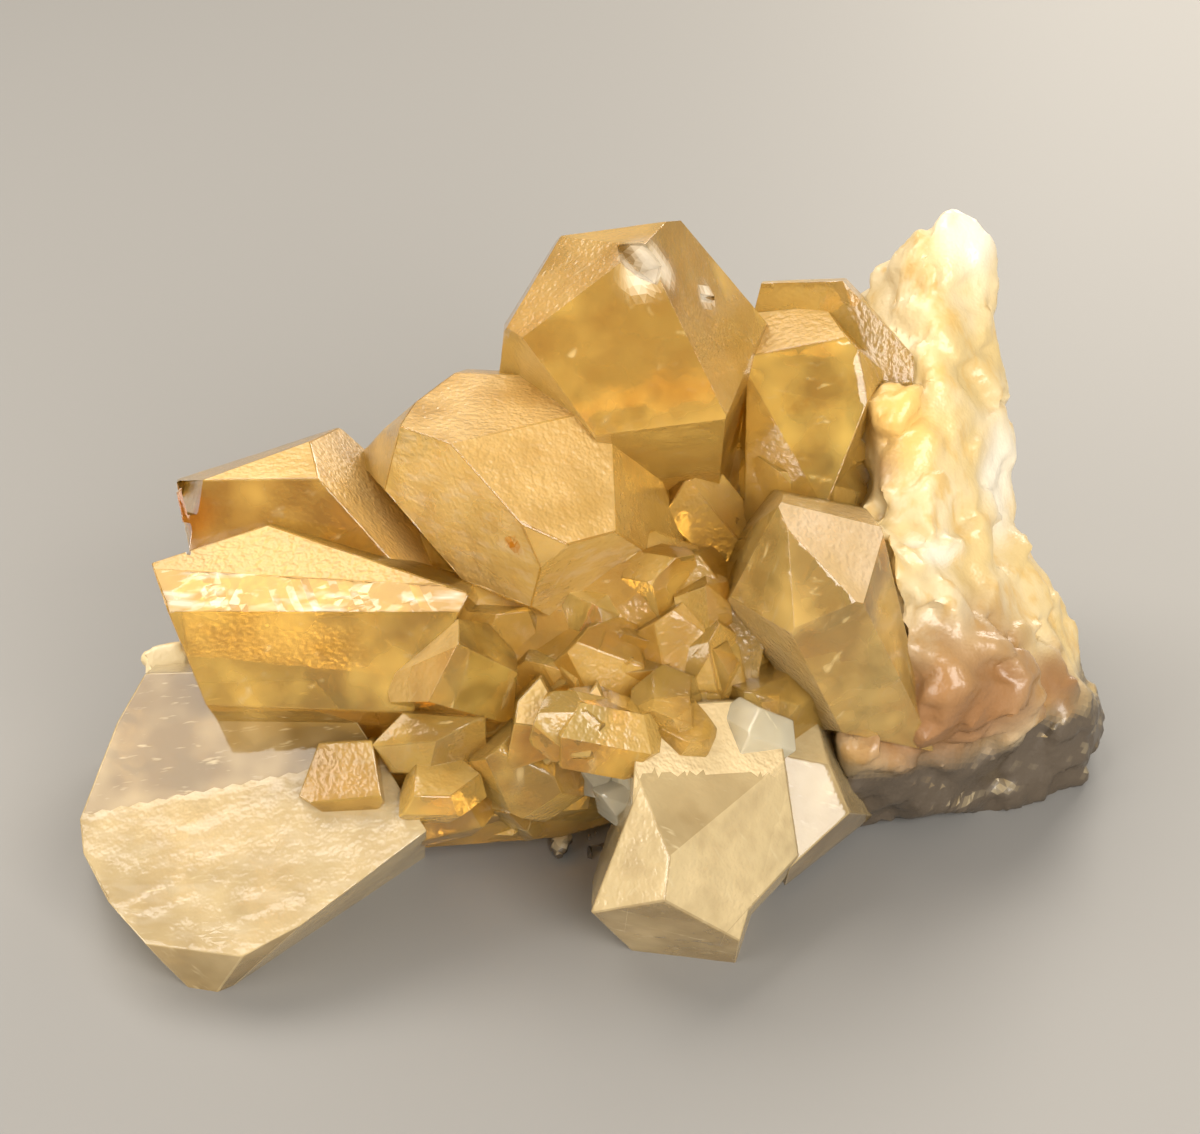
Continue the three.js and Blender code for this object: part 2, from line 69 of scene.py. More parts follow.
def add(tree, kind, links=None, **settings):
    """A new node. Settings name its properties or its inputs; links name its inputs."""
    node = tree.nodes.new(kind)
    for name, value in settings.items():
        if hasattr(node, name):
            setattr(node, name, value)
    for name, value in (links or {}).items():
        socket = node.inputs[name]
        if isinstance(value, bpy.types.NodeSocket):
            tree.links.new(value, socket)
        else:
            socket.default_value = value
    return node


def new_material(name):
    """An empty node material, and the tree to fill."""
    material = bpy.data.materials.new(name)
    material.use_nodes = True
    material.node_tree.nodes.clear()
    return material, material.node_tree


# %% [markdown]
# ## Camera, light and floor
# The picture was taken from the front, about 33 degrees above level, with a lens like a short
# telephoto, from 32 cm away. The aim is the middle of the picture.

# %% Camera
ELEVATION = np.radians(33.0)
AIM = np.array([1.0, 0.0, 38.0]) - SEAT
AWAY = 320.0
LENS, FILM = 70, 36

camera_data = bpy.data.cameras.new("camera")
camera_data.lens = LENS
camera_data.sensor_width = FILM
camera_data.clip_start = 0.01
camera = bpy.data.objects.new("camera", camera_data)
bpy.context.collection.objects.link(camera)
looking = np.array([0, np.cos(ELEVATION), -np.sin(ELEVATION)])
camera.location = Vector((AIM - AWAY * looking) * MM)
camera.rotation_euler = (np.pi / 2 - ELEVATION, 0, 0)
bpy.context.scene.camera = camera
print("camera at", [round(c, 3) for c in camera.location])

# %% Floor and soft lights
SIDE = 1.6  # metres from the middle of the floor to its edge
LIGHT_TURNS = 4  # enough for light to get through two crystals and out again
ROOM_LIGHT = 0.45

floor_mesh = bpy.data.meshes.new("floor")
floor_mesh.from_pydata(
    [(-SIDE, -SIDE, 0), (SIDE, -SIDE, 0), (SIDE, SIDE, 0), (-SIDE, SIDE, 0)], [], [(0, 1, 2, 3)]
)
floor = bpy.data.objects.new("floor", floor_mesh)
bpy.context.collection.objects.link(floor)
floor_paint, tree = new_material("pale_floor")
surface = add(
    tree, "ShaderNodeBsdfPrincipled", {"Base Color": linear("#8C8A87"), "Roughness": 0.6}
)
add(tree, "ShaderNodeOutputMaterial", {"Surface": surface.outputs[0]})
floor_mesh.materials.append(floor_paint)


def soft_light(name, place, aim, size, power, colour):
    """A square panel of light that faces its aim."""
    data = bpy.data.lights.new(name, "AREA")
    data.shape = "SQUARE"
    data.size = size
    data.energy = power
    data.color = linear(colour)[:3]
    lamp = bpy.data.objects.new(name, data)
    lamp.location = place
    lamp.rotation_euler = (Vector(aim) - Vector(place)).to_track_quat("-Z", "Y").to_euler()
    bpy.context.collection.objects.link(lamp)


soft_light("key", (-0.30, 0.22, 0.62), (0, 0, 0.04), 0.55, 4.8, "#FFF8EE")
soft_light("front", (0.30, -0.62, 0.42), (0, 0, 0.03), 0.50, 7.9, "#FFFAF2")
soft_light("side", (-0.60, -0.45, 0.22), (0, 0, 0.04), 0.50, 5.0, "#FFF9F0")
soft_light("back", (0.30, 0.62, 0.35), (0, 0, 0.04), 0.40, 4.0, "#FFF6E8")
world = bpy.data.worlds.new("room")
world.use_nodes = True
world.node_tree.nodes["Background"].inputs["Color"].default_value = linear("#D8D4CC")
world.node_tree.nodes["Background"].inputs["Strength"].default_value = ROOM_LIGHT
bpy.context.scene.world = world
# Plain display of the colours, without a film curve
bpy.context.scene.view_settings.view_transform = "Standard"
for kind in ("max_bounces", "transmission_bounces"):
    setattr(bpy.context.scene.cycles, kind, LIGHT_TURNS)
for kind in ("diffuse_bounces", "glossy_bounces"):
    setattr(bpy.context.scene.cycles, kind, 1)
print("floor, room light and", len(bpy.data.lights), "soft lights")

# %% [markdown]
# ## From faces to solids
# A crystal is bounded by flat faces, so it is the space that lies behind all of them. Each face
# has a bearing from +X, a tilt above the level, and a distance from the crystal's middle. Where
# three faces meet inside all the others there is a corner.

# %% Faces to corners
PARALLEL = 1e-4  # three faces that span less than this don't meet in a point
TOUCHING = 1e-5  # mm that a corner may lie outside a face and still be on it
MERGED = 0.02  # corners closer than this many mm are one
MERGED_FINE = 0.004  # the same on the narrow strips of a rounded edge
SAME_PLANE = 0.4  # degrees between two faces that are one
EDGE_WEAR = 0.22  # mm taken off each edge


def direction(bearing, tilt):
    """The unit vector (cos t cos b, cos t sin b, sin t) for bearing b and tilt t in degrees."""
    b, t = np.radians(bearing), np.radians(tilt)
    return np.stack([np.cos(t) * np.cos(b), np.cos(t) * np.sin(b), np.sin(t) + 0 * b], axis=-1)


def corners_inside(normals, distances):
    """Every point where three faces meet and n . p <= d holds for all of the faces."""
    threes = np.array(list(itertools.combinations(range(len(normals)), 3)))
    sides = normals[threes]
    meet = np.abs(np.linalg.det(sides)) > PARALLEL
    points = np.linalg.solve(sides[meet], distances[threes][meet][..., None])[..., 0]
    return points[(points @ normals.T <= distances + TOUCHING).all(axis=1)]


def hull_mesh(points):
    """The tightest convex skin over the points, as a bmesh with flat faces joined up."""
    skin = bmesh.new()
    for point in np.unique(np.round(points, 4), axis=0):
        skin.verts.new(point * MM)
    bmesh.ops.remove_doubles(skin, verts=skin.verts, dist=MERGED * MM)
    made = bmesh.ops.convex_hull(skin, input=skin.verts)
    loose = [v for v in made["geom_interior"] + made["geom_unused"] if v.is_valid]
    bmesh.ops.delete(skin, geom=list(set(loose)), context="VERTS")
    bmesh.ops.dissolve_limit(
        skin, angle_limit=np.radians(SAME_PLANE), verts=skin.verts, edges=skin.edges
    )
    return skin


def solid(name, points, wear=EDGE_WEAR):
    """An object over the points. Its edges are rounded by a fraction of a millimetre."""
    skin = hull_mesh(points)
    if wear:
        bmesh.ops.bevel(
            skin,
            geom=skin.edges[:],
            offset=wear * MM,
            segments=2,
            profile=0.5,
            affect="EDGES",
            clamp_overlap=True,
        )
    bmesh.ops.triangulate(skin, faces=skin.faces)
    bmesh.ops.remove_doubles(skin, verts=skin.verts, dist=MERGED_FINE * MM)
    bmesh.ops.recalc_face_normals(skin, faces=skin.faces)
    mesh = bpy.data.meshes.new(name)
    skin.to_mesh(mesh)
    skin.free()
    thing = bpy.data.objects.new(name, mesh)
    bpy.context.collection.objects.link(thing)
    return thing


# %% [markdown]
# ## The large crystals
# The outlines of the faces in the picture gave their bearings, tilts and distances. "at" is the
# middle of the crystal, and every other row is one face: bearing and tilt in degrees, distance in
# mm. The names say where a face lies on its crystal.

# %% The large crystals
CRYSTALS = dict(
    crown=dict(
        at=(6.5, 10, 68),
        front=(-92, 13, 13.4), right=(-18, 29, 11.3), left=(-160, 52, 16.3), top=(146, 74, 15.9),
        strip=(-84, -36, 15.3), sliver=(-147, -26, 14.7), farLeft=(167, 29, 16.2),
        farRight=(19, 37, 14.1), rightLow=(-15, -10, 14.7), back=(106, 63, 14.7),
        rear=(90, 6, 26.1), foot=(0, -90, 28), lowLeft=(179, 7, 18.3),
    ),
    crownTwin=dict(
        at=(30.5, 16, 56.5),
        front=(-95, 30, 6.1), top=(-157, 78, 8.7), side=(-24, 24, 9), shoulder=(12, 43, 9.1),
        under=(-23, -11, 8.3), lowFace=(-118, 14, 8.4), rear=(85, 10, 9), left=(180, 0, 9.5),
        foot=(0, -90, 20.5),
    ),
    crownBack=dict(
        at=(33, 28, 62),
        front=(-92, 24, 9.3), top=(95, 65, 5.2), right=(16, 42, 5.5), rightFront=(-118, 13, 6.8),
        left=(170, 10, 10), farRight=(8, -4, 9.7), rear=(85, 5, 9.5), foot=(0, -90, 27),
    ),
    shoulder=dict(
        at=(-8.5, 2, 52),
        broad=(-51, 47, 12.6), summit=(67, 84, 10.7), streaked=(-126, -8, 15.1),
        frontTip=(-83, 9, 19.2), sideRight=(-15, 22, 13.8), sideLeft=(-125, -46, 17.1),
        lowStreaked=(-58, -20, 17.6), corner=(-171, 11, 19.4), back=(150, 44, 16.7),
        backTop=(85, 63, 12.8), cornerTop=(165, 40, 18.1), right=(-1, 20, 15.6),
        lowLeft=(-152, -31, 16.4), rear=(85, 0, 28.2), foot=(40, -50, 27.7),
    ),
    leftUpper=dict(
        at=(-42.5, 5, 44),
        front=(-97, 22, 8.2), top=(-138, 84, 8.7), right=(10, 42, 9.5), back=(129, 59, 7.9),
        left=(-166, -5, 13.7), rear=(80, 10, 17.6), rightEnd=(20, -10, 19.4), foot=(0, -90, 20),
        leftBevel=(178, 34, 14.1), crest=(67, 50, 14.1),
    ),
    leftLower=dict(
        at=(-40.5, -12, 34),
        top=(-104, 74, 12.2), front=(-97, 15, 7.9), bevel=(-100, 46, 10.3), low=(-95, -34, 10.1),
        left=(-165, -15, 13), leftBack=(123, 54, 15.6), rear=(80, 0, 13.8), right=(10, 20, 25.7),
        rightLow=(-20, -20, 19.9), foot=(0, -90, 27), rightTop=(58, 58, 14.3),
    ),
    rightClear=dict(
        at=(30.5, -10, 39.5),
        beige=(-44, 49, 14), first=(43, 64, 13), third=(170, 21, 12), fourth=(-142, 12, 13.5),
        fifth=(-95, 24, 15.6), sideRight=(-24, 15, 10.7), sideLeft=(-140, -26, 10),
        sideFront=(-79, -11, 12), right=(10, 14, 9.2), rear=(68, 59, 12.9), back=(90, 0, 18),
        base=(0, -90, 29.5), leftTop=(159, 31, 13.1), left=(-179, -7, 12.8),
        leftLow=(-159, -30, 10.5), foot=(-109, -52, 16.9),
    ),
    lowerPale=dict(
        at=(11.5, -30, 14.5),
        roof=(-45, 57, 12.3), right=(-42, 24, 11), frontLow=(-49, 18, 11.8),
        left=(-139, 25, 13.4), under=(-35, -23, 13.1), leftUp=(179, 3, 6.9), top=(90, 60, 18.5),
        rear=(90, 0, 22), rightEnd=(0, 10, 15.2), foot=(0, -90, 8.5), toe=(-100, -29, 12.8),
    ),
    lowerPaleToe=dict(
        at=(9.5, -34, 9.5),
        roof=(-45, 57, 15.7), right=(-42, 24, 11.9), frontLow=(-49, 18, 11.7),
        left=(-139, 25, 11.8), toe=(-100, -29, 6.6), leftSide=(169, 17, 8.5),
        toeLeft=(-159, -31, 8.7), rightSide=(-15, -9, 11.5), cap=(90, 50, 14.6), rear=(90, 0, 22),
        foot=(0, -90, 9.5),
    ),
    lowerPaleTwin=dict(
        at=(28.5, -24, 15),
        front=(-74, 38, 2.7), right=(2, 26, 5.4), low=(-42, -25, 4.6), left=(-172, -6, 3.9),
        top=(-40, 68, 5.8), rear=(90, 0, 16), foot=(0, -90, 12),
    ),
    leftPale=dict(
        at=(-50.5, -24, 9.5),
        upper=(-112, 66, 10.6), lower=(-105, 59, 10.4), underLeft=(-102, -13, 20.5),
        underMid=(-57, -29, 19.7), underRight=(-42, -35, 17.6), rimFirst=(169, 27, 19.6),
        rimSecond=(176, 22, 18.3), rimThird=(-167, 0, 17.7), rimFourth=(-153, -15, 16.4),
        rimFifth=(-143, -25, 16), rimSixth=(-144, -27, 15.7), bottom=(0, -90, 9.5),
        right=(27, 18, 23.4), rear=(84, 12, 27.2), top=(95, 60, 22.6),
    ),
    brownFirst=dict(
        at=(-19, -18, 32),
        left=(-144, 25, 8.3), right=(-65, -5, 7.9), top=(179, 47, 7.1), under=(-102, -44, 4.8),
        rightTop=(6, 46, 9.4), leftSide=(-167, -8, 8.2), rightSide=(5, -5, 8.5),
        crest=(90, 50, 7.1), leftCrest=(170, 27, 7.7), rightCrest=(26, 34, 9),
        rear=(80, -10, 11.9), foot=(0, -90, 22),
    ),
    brownSecond=dict(
        at=(-33.5, -22, 17.5),
        face=(-104, 34, 11), under=(-91, -23, 7.2), leftUp=(173, 20, 5), leftLow=(-132, -36, 4.8),
        top=(95, 55, 6.1), right=(6, 8, 6.1), rightLow=(-34, -31, 6.8), rear=(80, -6, 10),
    ),
    brownThird=dict(
        at=(-23, -20, 22.5),
        top=(-100, 62, 10.5), front=(-90, 1, 9), right=(-65, -4, 8.7), leftUp=(154, 37, 4.9),
        leftLow=(-152, -23, 5.4), back=(85, 60, 5.4), under=(-95, -50, 4), rear=(80, -6, 10.3),
        rightEnd=(10, 0, 8.1),
    ),
    brightFirst=dict(
        at=(-7, -22, 29),
        face=(-96, 62, 9.3), left=(155, 37, 3.9), leftLow=(178, 10, 3.5), right=(17, 26, 3.3),
        under=(-100, -6, 8.9), rear=(80, -6, 5.9), foot=(-60, -50, 5.5),
    ),
    brightSecond=dict(
        at=(-1, -21, 29.5),
        face=(-88, 60, 8.5), left=(155, 35, 1.4), right=(-31, -28, 1.7), top=(14, 22, 3.2),
        under=(-110, 8, 8.9), rear=(80, -6, 7.2), foot=(-60, -50, 5.4),
    ),
)
print(len(CRYSTALS), "large crystals")

# %% [markdown]
# ## The small crystals
# They fill the hollow between the large ones. Their tips are where the picture shows them, and
# they fan out to the front, each one a six-sided quartz with its tip faces a little uneven.

# %% The small crystals
# Each row is the tip x, y, z, the radius and the length in mm, and the lean from upright, the
# bearing and the spin in degrees.
SMALL_GOLDEN = [
    (-23, -25.5, 20, 6.7, 14, 74, -120, 0),
    (-25, -35.5, 22.5, 4.6, 12, 92, -130, 15),
    (-21, -25.5, 14, 5.3, 12, 88, -75, 40),
    (-14, -31, 30, 7.9, 16.5, 52, -125, 22),
    (-7, -25.5, 22, 8.9, 17, 50, -60, 48),
    (-11.5, -26, 19.5, 5.9, 12, 66, -140, 12),
    (-17, -25.5, 17.5, 5.9, 12, 74, -60, 30),
    (-11, -15.5, 42, 8.7, 16.5, 34, -60, 18),
    (-4, -20.5, 39.5, 9.3, 17.5, 44, -130, 41),
    (2, -18.5, 40, 7.5, 15.5, 38, -50, 9),
    (-15.5, -26, 14, 6.9, 15, 84, -110, 9),
    (-9, -25.5, 16.5, 6.9, 15, 80, -70, 33),
    (-23.5, -31, 14, 5.3, 13, 100, -120, 21),
    (-13, -22.5, 8, 5.3, 12, 100, -100, 36),
    (-6.5, -22, 10.5, 5.3, 12, 96, -70, 36),
    (9, -17, 43, 9.5, 18.5, 30, -120, 28),
    (10, -20, 36, 8.1, 16.5, 52, -50, 37),
    (17, -17.5, 41, 9.7, 19.5, 34, -70, 15),
    (19, -20.5, 33, 9.3, 17.5, 40, -125, 50),
    (3.5, -21.5, 33, 8.1, 16.5, 58, -60, 35),
    (-4, -37, 36.5, 7.1, 16.5, 62, -120, 27),
    (-12, -24.5, 29.5, 7.5, 15.5, 50, -75, 3),
    (1, -23.5, 28, 6.5, 15.5, 64, -70, 20),
    (38, 12.5, 51, 3.6, 9, 42, -50, 20),
    (32.5, 3.5, 50, 8, 15, 50, -80, 26),
    (23, 6.5, 51.5, 6.4, 15, 36, -120, 11),
    (17, 14, 39, 5, 18, 22, -110, 39),
    (12, -12.5, 48, 6.6, 15, 36, -50, 17),
    (13, 4, 50, 8, 16, 34, -110, 2),
    (8.5, 0.5, 48.5, 6, 14, 42, -60, 33),
    (6.5, -9, 46.5, 6.4, 14, 42, -110, 33),
    (-0.5, -15.5, 43, 5.7, 13.5, 40, -90, 25),
    (6, -18, 39, 6.1, 14.5, 46, -75, 5),
    (1, -20, 36, 6.1, 14.5, 50, -120, 14),
    (-4.5, -21.5, 33, 6.3, 14.5, 52, -80, 29),
    (8, -30.5, 35.5, 6.3, 14.5, 56, -105, 17),
    (14, -19, 37.5, 5.9, 13.5, 40, -110, 42),
    (14, -15, 45, 5.7, 13.5, 34, -95, 10),
    (-8.5, -19.5, 36, 5.3, 13.5, 44, -120, 36),
    (12.5, -32, 32.5, 5.7, 13.5, 60, -80, 31),
    (-8, -34.5, 38, 5.7, 13.5, 56, -140, 7),
    (4.5, -20, 36.5, 5.1, 12.5, 48, -60, 50),
    (-3, -21.5, 12.5, 5, 11, 84, -95, 20),
    (-18, -30, 25.5, 5.1, 11, 66, -95, 12),
]
SMALL_CLEAR = [
    (2.5, -25, 24.5, 6.6, 13, 46, -112, 12),
    (-0.5, -25.5, 20, 6.4, 12, 62, -140, 31),
    (-2.5, -24, 23, 5.4, 13, 52, -130, 44),
    (4.5, -21, 15, 5.2, 12, 74, -122, 7),
    (20.5, -28.5, 30.5, 5.6, 11, 58, -95, 8),
]
TIP_ANGLE = 51.8  # degrees between a tip face of quartz and the level across its length
UNEVEN = 0.24  # how far faces of one crystal differ in their distance
SIDE_REACH = 0.8  # distance of a side as a share of the radius


def small_faces(tip, radius, length, lean, bearing, spin):
    """Six sides round the long axis and six tip faces at the angle of quartz, uneven in size."""
    long = direction(bearing, 90.0 - lean)
    level = np.cross([0, 0, 1], long)
    level /= np.linalg.norm(level)
    across = np.cross(long, level)
    middle = np.array(tip) - SEAT - radius * long
    k = np.arange(6)
    turn = np.radians(60 * k + spin)[:, None]
    side = level * np.cos(turn) + across * np.sin(turn)
    slope = np.radians(TIP_ANGLE)
    tip_face = side * np.sin(slope) + long * np.cos(slope)
    share = 1 + UNEVEN * np.sin(2.4 * k + spin)
    normals = np.concatenate([side, tip_face, [-long]])
    reach = np.concatenate(
        [SIDE_REACH * radius * share, radius * np.cos(slope) * (2 - share), [length - radius]]
    )
    return normals, normals @ middle + reach


def large_faces(shape):
    """Face normals and their distances from the origin."""
    table = np.array([face for name, face in shape.items() if name != "at"], float)
    normals = direction(table[:, 0], table[:, 1])
    return normals, normals @ (np.array(shape["at"]) - SEAT) + table[:, 2]


# %% [markdown]
# ## Joining
# Crystals that have grown together share one skin, so the crystals of one kind are joined with a
# boolean. The chips are cut out of them afterwards. Everything below the level of the table is
# cut off as well, because the lowest tips are where the piece stands.

# %% Join and cut
BOX = 200.0  # mm, more than the cluster measures


def applied(thing):
    """The object's mesh with its modifiers worked out and taken off."""
    graph = bpy.context.evaluated_depsgraph_get()
    mesh = bpy.data.meshes.new_from_object(thing.evaluated_get(graph))
    thing.modifiers.clear()
    thing.data = mesh
    return thing


def combine(target, others, operation):
    """Joins the others to the target, cuts them away or keeps what is common."""
    group = bpy.data.collections.new("others")
    bpy.context.scene.collection.children.link(group)
    for other in others:
        group.objects.link(other)
    cut = target.modifiers.new("combine", "BOOLEAN")
    cut.operand_type = "COLLECTION"
    cut.collection = group
    cut.operation = operation
    cut.solver = "MANIFOLD"
    applied(target)
    for other in others:
        bpy.data.objects.remove(other)
    bpy.data.collections.remove(group)
    return target


def table_top():
    """Everything above the level of the table, as a big box."""
    wide = (-BOX, BOX)
    ends = itertools.product(wide, wide, (0.0, BOX))
    return solid("above", np.array(list(ends)), wear=0)


# The chips at the apex and at an edge of the crown, and two at the end of the upper left crystal
CHIPS = [
    [
        (2.4, 1.3, 86), (6.2, -0.1, 87.2), (9.6, 0, 84), (9, -4.5, 82.3), (6, -4.3, 83),
        (2.8, -3, 85.2), (3.4, 4.3, 84.2), (6.3, 2.6, 85), (8.5, 2.8, 81.8), (8, 0.4, 80.8),
        (6.1, 4.3, 80.5), (4.5, 4.7, 82.3),
    ],
    [
        (13.1, 2.9, 78.6), (16.2, 7.7, 76), (16.4, 6.2, 74.7), (13.6, 1.5, 77),
        (14.1, 6.7, 76.2), (16, 10, 74), (15.5, 7.7, 74.4), (14.9, 9.2, 74.4),
    ],
    [
        (-56.8, 2.6, 50.6), (-51.2, -3, 53.7), (-52.1, -4.7, 49.2), (-57.1, 2.7, 44.9),
        (-60.1, 17.8, 41.6), (-59.7, 17.7, 36.6), (-54.5, 6.8, 47.2), (-55.8, 6.9, 43.2),
        (-59.6, 23.4, 37.6),
    ],
    [
        (-57.5, 2.7, 43.9), (-53, -5.1, 48.1), (-52, -13.5, 48.5), (-58.3, 2.7, 39.1),
        (-60.4, 16, 35.6), (-60.3, 15.9, 30.6), (-55.4, 2.2, 42.6), (-56.8, 6.4, 37),
        (-58.5, 10.2, 36.9),
    ],
]
PALE = ["lowerPale", "lowerPaleToe", "lowerPaleTwin", "leftPale"]
CLEAR = ["rightClear"]
GOLDEN = [name for name in CRYSTALS if name not in PALE + CLEAR]
faces = {name: large_faces(shape) for name, shape in CRYSTALS.items()}
for number, row in enumerate(SMALL_GOLDEN):
    faces["smallGolden%d" % number] = small_faces(row[:3], *row[3:])
for number, row in enumerate(SMALL_CLEAR):
    faces["smallClear%d" % number] = small_faces(row[:3], *row[3:])


def crystal_group(name, members, extra=()):
    """One closed skin over the named crystals, standing on the table."""
    parts = [solid(part, corners_inside(*faces[part])) for part in members]
    parts += [solid("extra", np.array(points) - SEAT) for points in extra]
    whole = combine(parts[0], parts[1:], "UNION") if len(parts) > 1 else parts[0]
    whole = combine(whole, [table_top()], "INTERSECT")
    whole.name = name
    return whole


# The mass of crystal that the small crystals grow out of
HEART = [
    (-27.5, -10, 31), (-20.5, -8, 40.5), (-4.5, -8, 42.5), (3.5, -10, 41), (14, -10, 46.5),
    (23, -14, 35.5), (21, -18, 23.5), (6.5, -21, 19), (-4.5, -22, 16.5), (-16.5, -23, 10.5),
    (-25.5, -23, 7), (-28.5, -22, 21.5), (-4.5, -18, 5), (2.5, -16, 6), (-10, 20, 30),
    (20, 20, 30), (-26, 10, 12), (20, 14, 8),
]
golden = crystal_group(
    "golden_crystals",
    GOLDEN + [name for name in faces if name.startswith("smallGolden")],
    [HEART],
)
golden = combine(golden, [solid("chip", np.array(c) - SEAT, 0) for c in CHIPS], "DIFFERENCE")
pale = crystal_group("pale_crystals", PALE)
clear = crystal_group("clear_crystal", CLEAR)
small_clear = crystal_group(
    "small_clear_crystals", [name for name in faces if name.startswith("smallClear")]
)
for thing in (golden, pale, clear, small_clear):
    print(thing.name, len(thing.data.polygons), "faces")

# %% [markdown]
# ## Relief
# A real face is never quite flat: it grew in thin steps and low mounds, and where it broke it has
# shell-shaped ripples. So each skin is cut into small triangles, and their corners are pushed
# along the surface's own normal by a height that is worked out from where they are. The same
# tools make the rock, with larger heights.

# %% Fine triangles and heights
SCRAMBLE = np.array([127.1, 311.7, 74.7])  # odd numbers that mix up the digits of a cell


def mesh_arrays(mesh):
    """Corner points in millimetres and triangles, as arrays."""
    points = np.empty(len(mesh.vertices) * 3)
    mesh.vertices.foreach_get("co", points)
    mesh.calc_loop_triangles()
    triangles = np.empty(len(mesh.loop_triangles) * 3, int)
    mesh.loop_triangles.foreach_get("vertices", triangles)
    return points.reshape(-1, 3) / MM, triangles.reshape(-1, 3)


def finer(points, triangles, limit):
    """Every edge longer than the limit is halved, in both of its triangles, until none is left."""
    while True:
        ends = np.sort(triangles[:, [[0, 1], [1, 2], [2, 0]]].reshape(-1, 2), axis=1)
        edges, back = np.unique(ends, axis=0, return_inverse=True)
        length = np.linalg.norm(points[edges[:, 0]] - points[edges[:, 1]], axis=1)
        long = length > limit
        if not long.any():
            return points, triangles
        number = np.where(long, len(points) + np.cumsum(long) - 1, -1)
        points = np.concatenate([points, points[edges[long]].mean(axis=1)])
        middle = number[back.ravel()].reshape(-1, 3)
        count = (middle >= 0).sum(axis=1)
        first = np.where(count == 1, np.argmax(middle >= 0, axis=1), 0)
        first = np.where(count == 2, (np.argmax(middle < 0, axis=1) + 1) % 3, first)
        turn = (first[:, None] + np.arange(3)) % 3
        a, b, c = np.take_along_axis(triangles, turn, axis=1).T
        ab, bc, ca = np.take_along_axis(middle, turn, axis=1).T
        one, two, three = count == 1, count == 2, count == 3
        triangles = np.concatenate(
            [
                np.stack([a, b, c], 1)[count == 0],
                np.stack([a, ab, c], 1)[one],
                np.stack([ab, b, c], 1)[one],
                np.stack([ab, b, bc], 1)[two],
                np.stack([a, ab, bc], 1)[two],
                np.stack([a, bc, c], 1)[two],
                np.stack([a, ab, ca], 1)[three],
                np.stack([ab, b, bc], 1)[three],
                np.stack([ca, bc, c], 1)[three],
                np.stack([ab, bc, ca], 1)[three],
            ]
        )


def triangle_normals(points, triangles):
    """The cross product of two sides: its length is twice the area."""
    a, b, c = points[triangles].transpose(1, 0, 2)
    return np.cross(b - a, c - a)


def unit(vectors):
    """The vectors at length one."""
    return vectors / np.maximum(np.linalg.norm(vectors, axis=-1, keepdims=True), 1e-12)


def corner_normals(points, triangles):
    """The sum of the triangle normals round each corner, at length one."""
    normals = triangle_normals(points, triangles)
    total = np.zeros_like(points)
    for column in triangles.T:
        np.add.at(total, column, normals)
    return unit(total)


def cell_number(cell, use):
    """A number from 0 to 1 that belongs to one cell of space and one use of it."""
    mixed = np.sin(cell @ SCRAMBLE + use * 53.3) * 43758.5453
    return mixed - np.floor(mixed)


def mounds(points, width, seed):
    """Smooth noise from -1 to 1: random heights on a lattice, eased from one to the next."""
    place = points / width
    base = np.floor(place)
    part = place - base
    ease = part * part * (3 - 2 * part)
    total = np.zeros(len(points))
    for corner in itertools.product((0, 1), repeat=3):
        weight = np.prod(np.where(corner, ease, 1 - ease), axis=1)
        total += weight * cell_number(base + corner, seed)
    return 2 * total - 1


def facets(points, cell, slope, step, seed=0):
    """Fracture relief: space is split round scattered seeds and each part has a tilted facet."""
    home = np.floor(points / cell)
    nearest = np.full(len(points), np.inf)
    height = np.zeros(len(points))
    for shift in itertools.product((-1, 0, 1), repeat=3):
        around = home + shift
        roll = [cell_number(around, use + seed) for use in range(1, 7)]
        offset = points - cell * (around + np.stack(roll[:3], axis=1))
        far = np.linalg.norm(offset, axis=1)
        facet = direction(360 * roll[3], 180 * roll[4] - 90)
        own = (facet * offset).sum(axis=1) * slope + (roll[5] - 0.5) * step
        closer = far < nearest
        nearest = np.where(closer, far, nearest)
        height = np.where(closer, own, height)
    return height


def set_mesh(thing, points, triangles, attributes=None, sharp=22):
    """Puts new arrays into the object, with numbers for each face."""
    mesh = bpy.data.meshes.new(thing.name)
    mesh.vertices.add(len(points))
    mesh.vertices.foreach_set("co", (points * MM).ravel())
    mesh.loops.add(triangles.size)
    mesh.loops.foreach_set("vertex_index", triangles.ravel().astype("int32"))
    mesh.polygons.add(len(triangles))
    mesh.polygons.foreach_set("loop_start", np.arange(0, triangles.size, 3, dtype="int32"))
    mesh.update(calc_edges=True)
    mesh.validate()
    for name, values in (attributes or {}).items():
        layer = mesh.attributes.new(name, "FLOAT", "FACE")
        layer.data.foreach_set("value", values.astype("float32"))
    mesh.shade_smooth()
    mesh.set_sharp_from_angle(angle=np.radians(sharp))
    thing.data = mesh
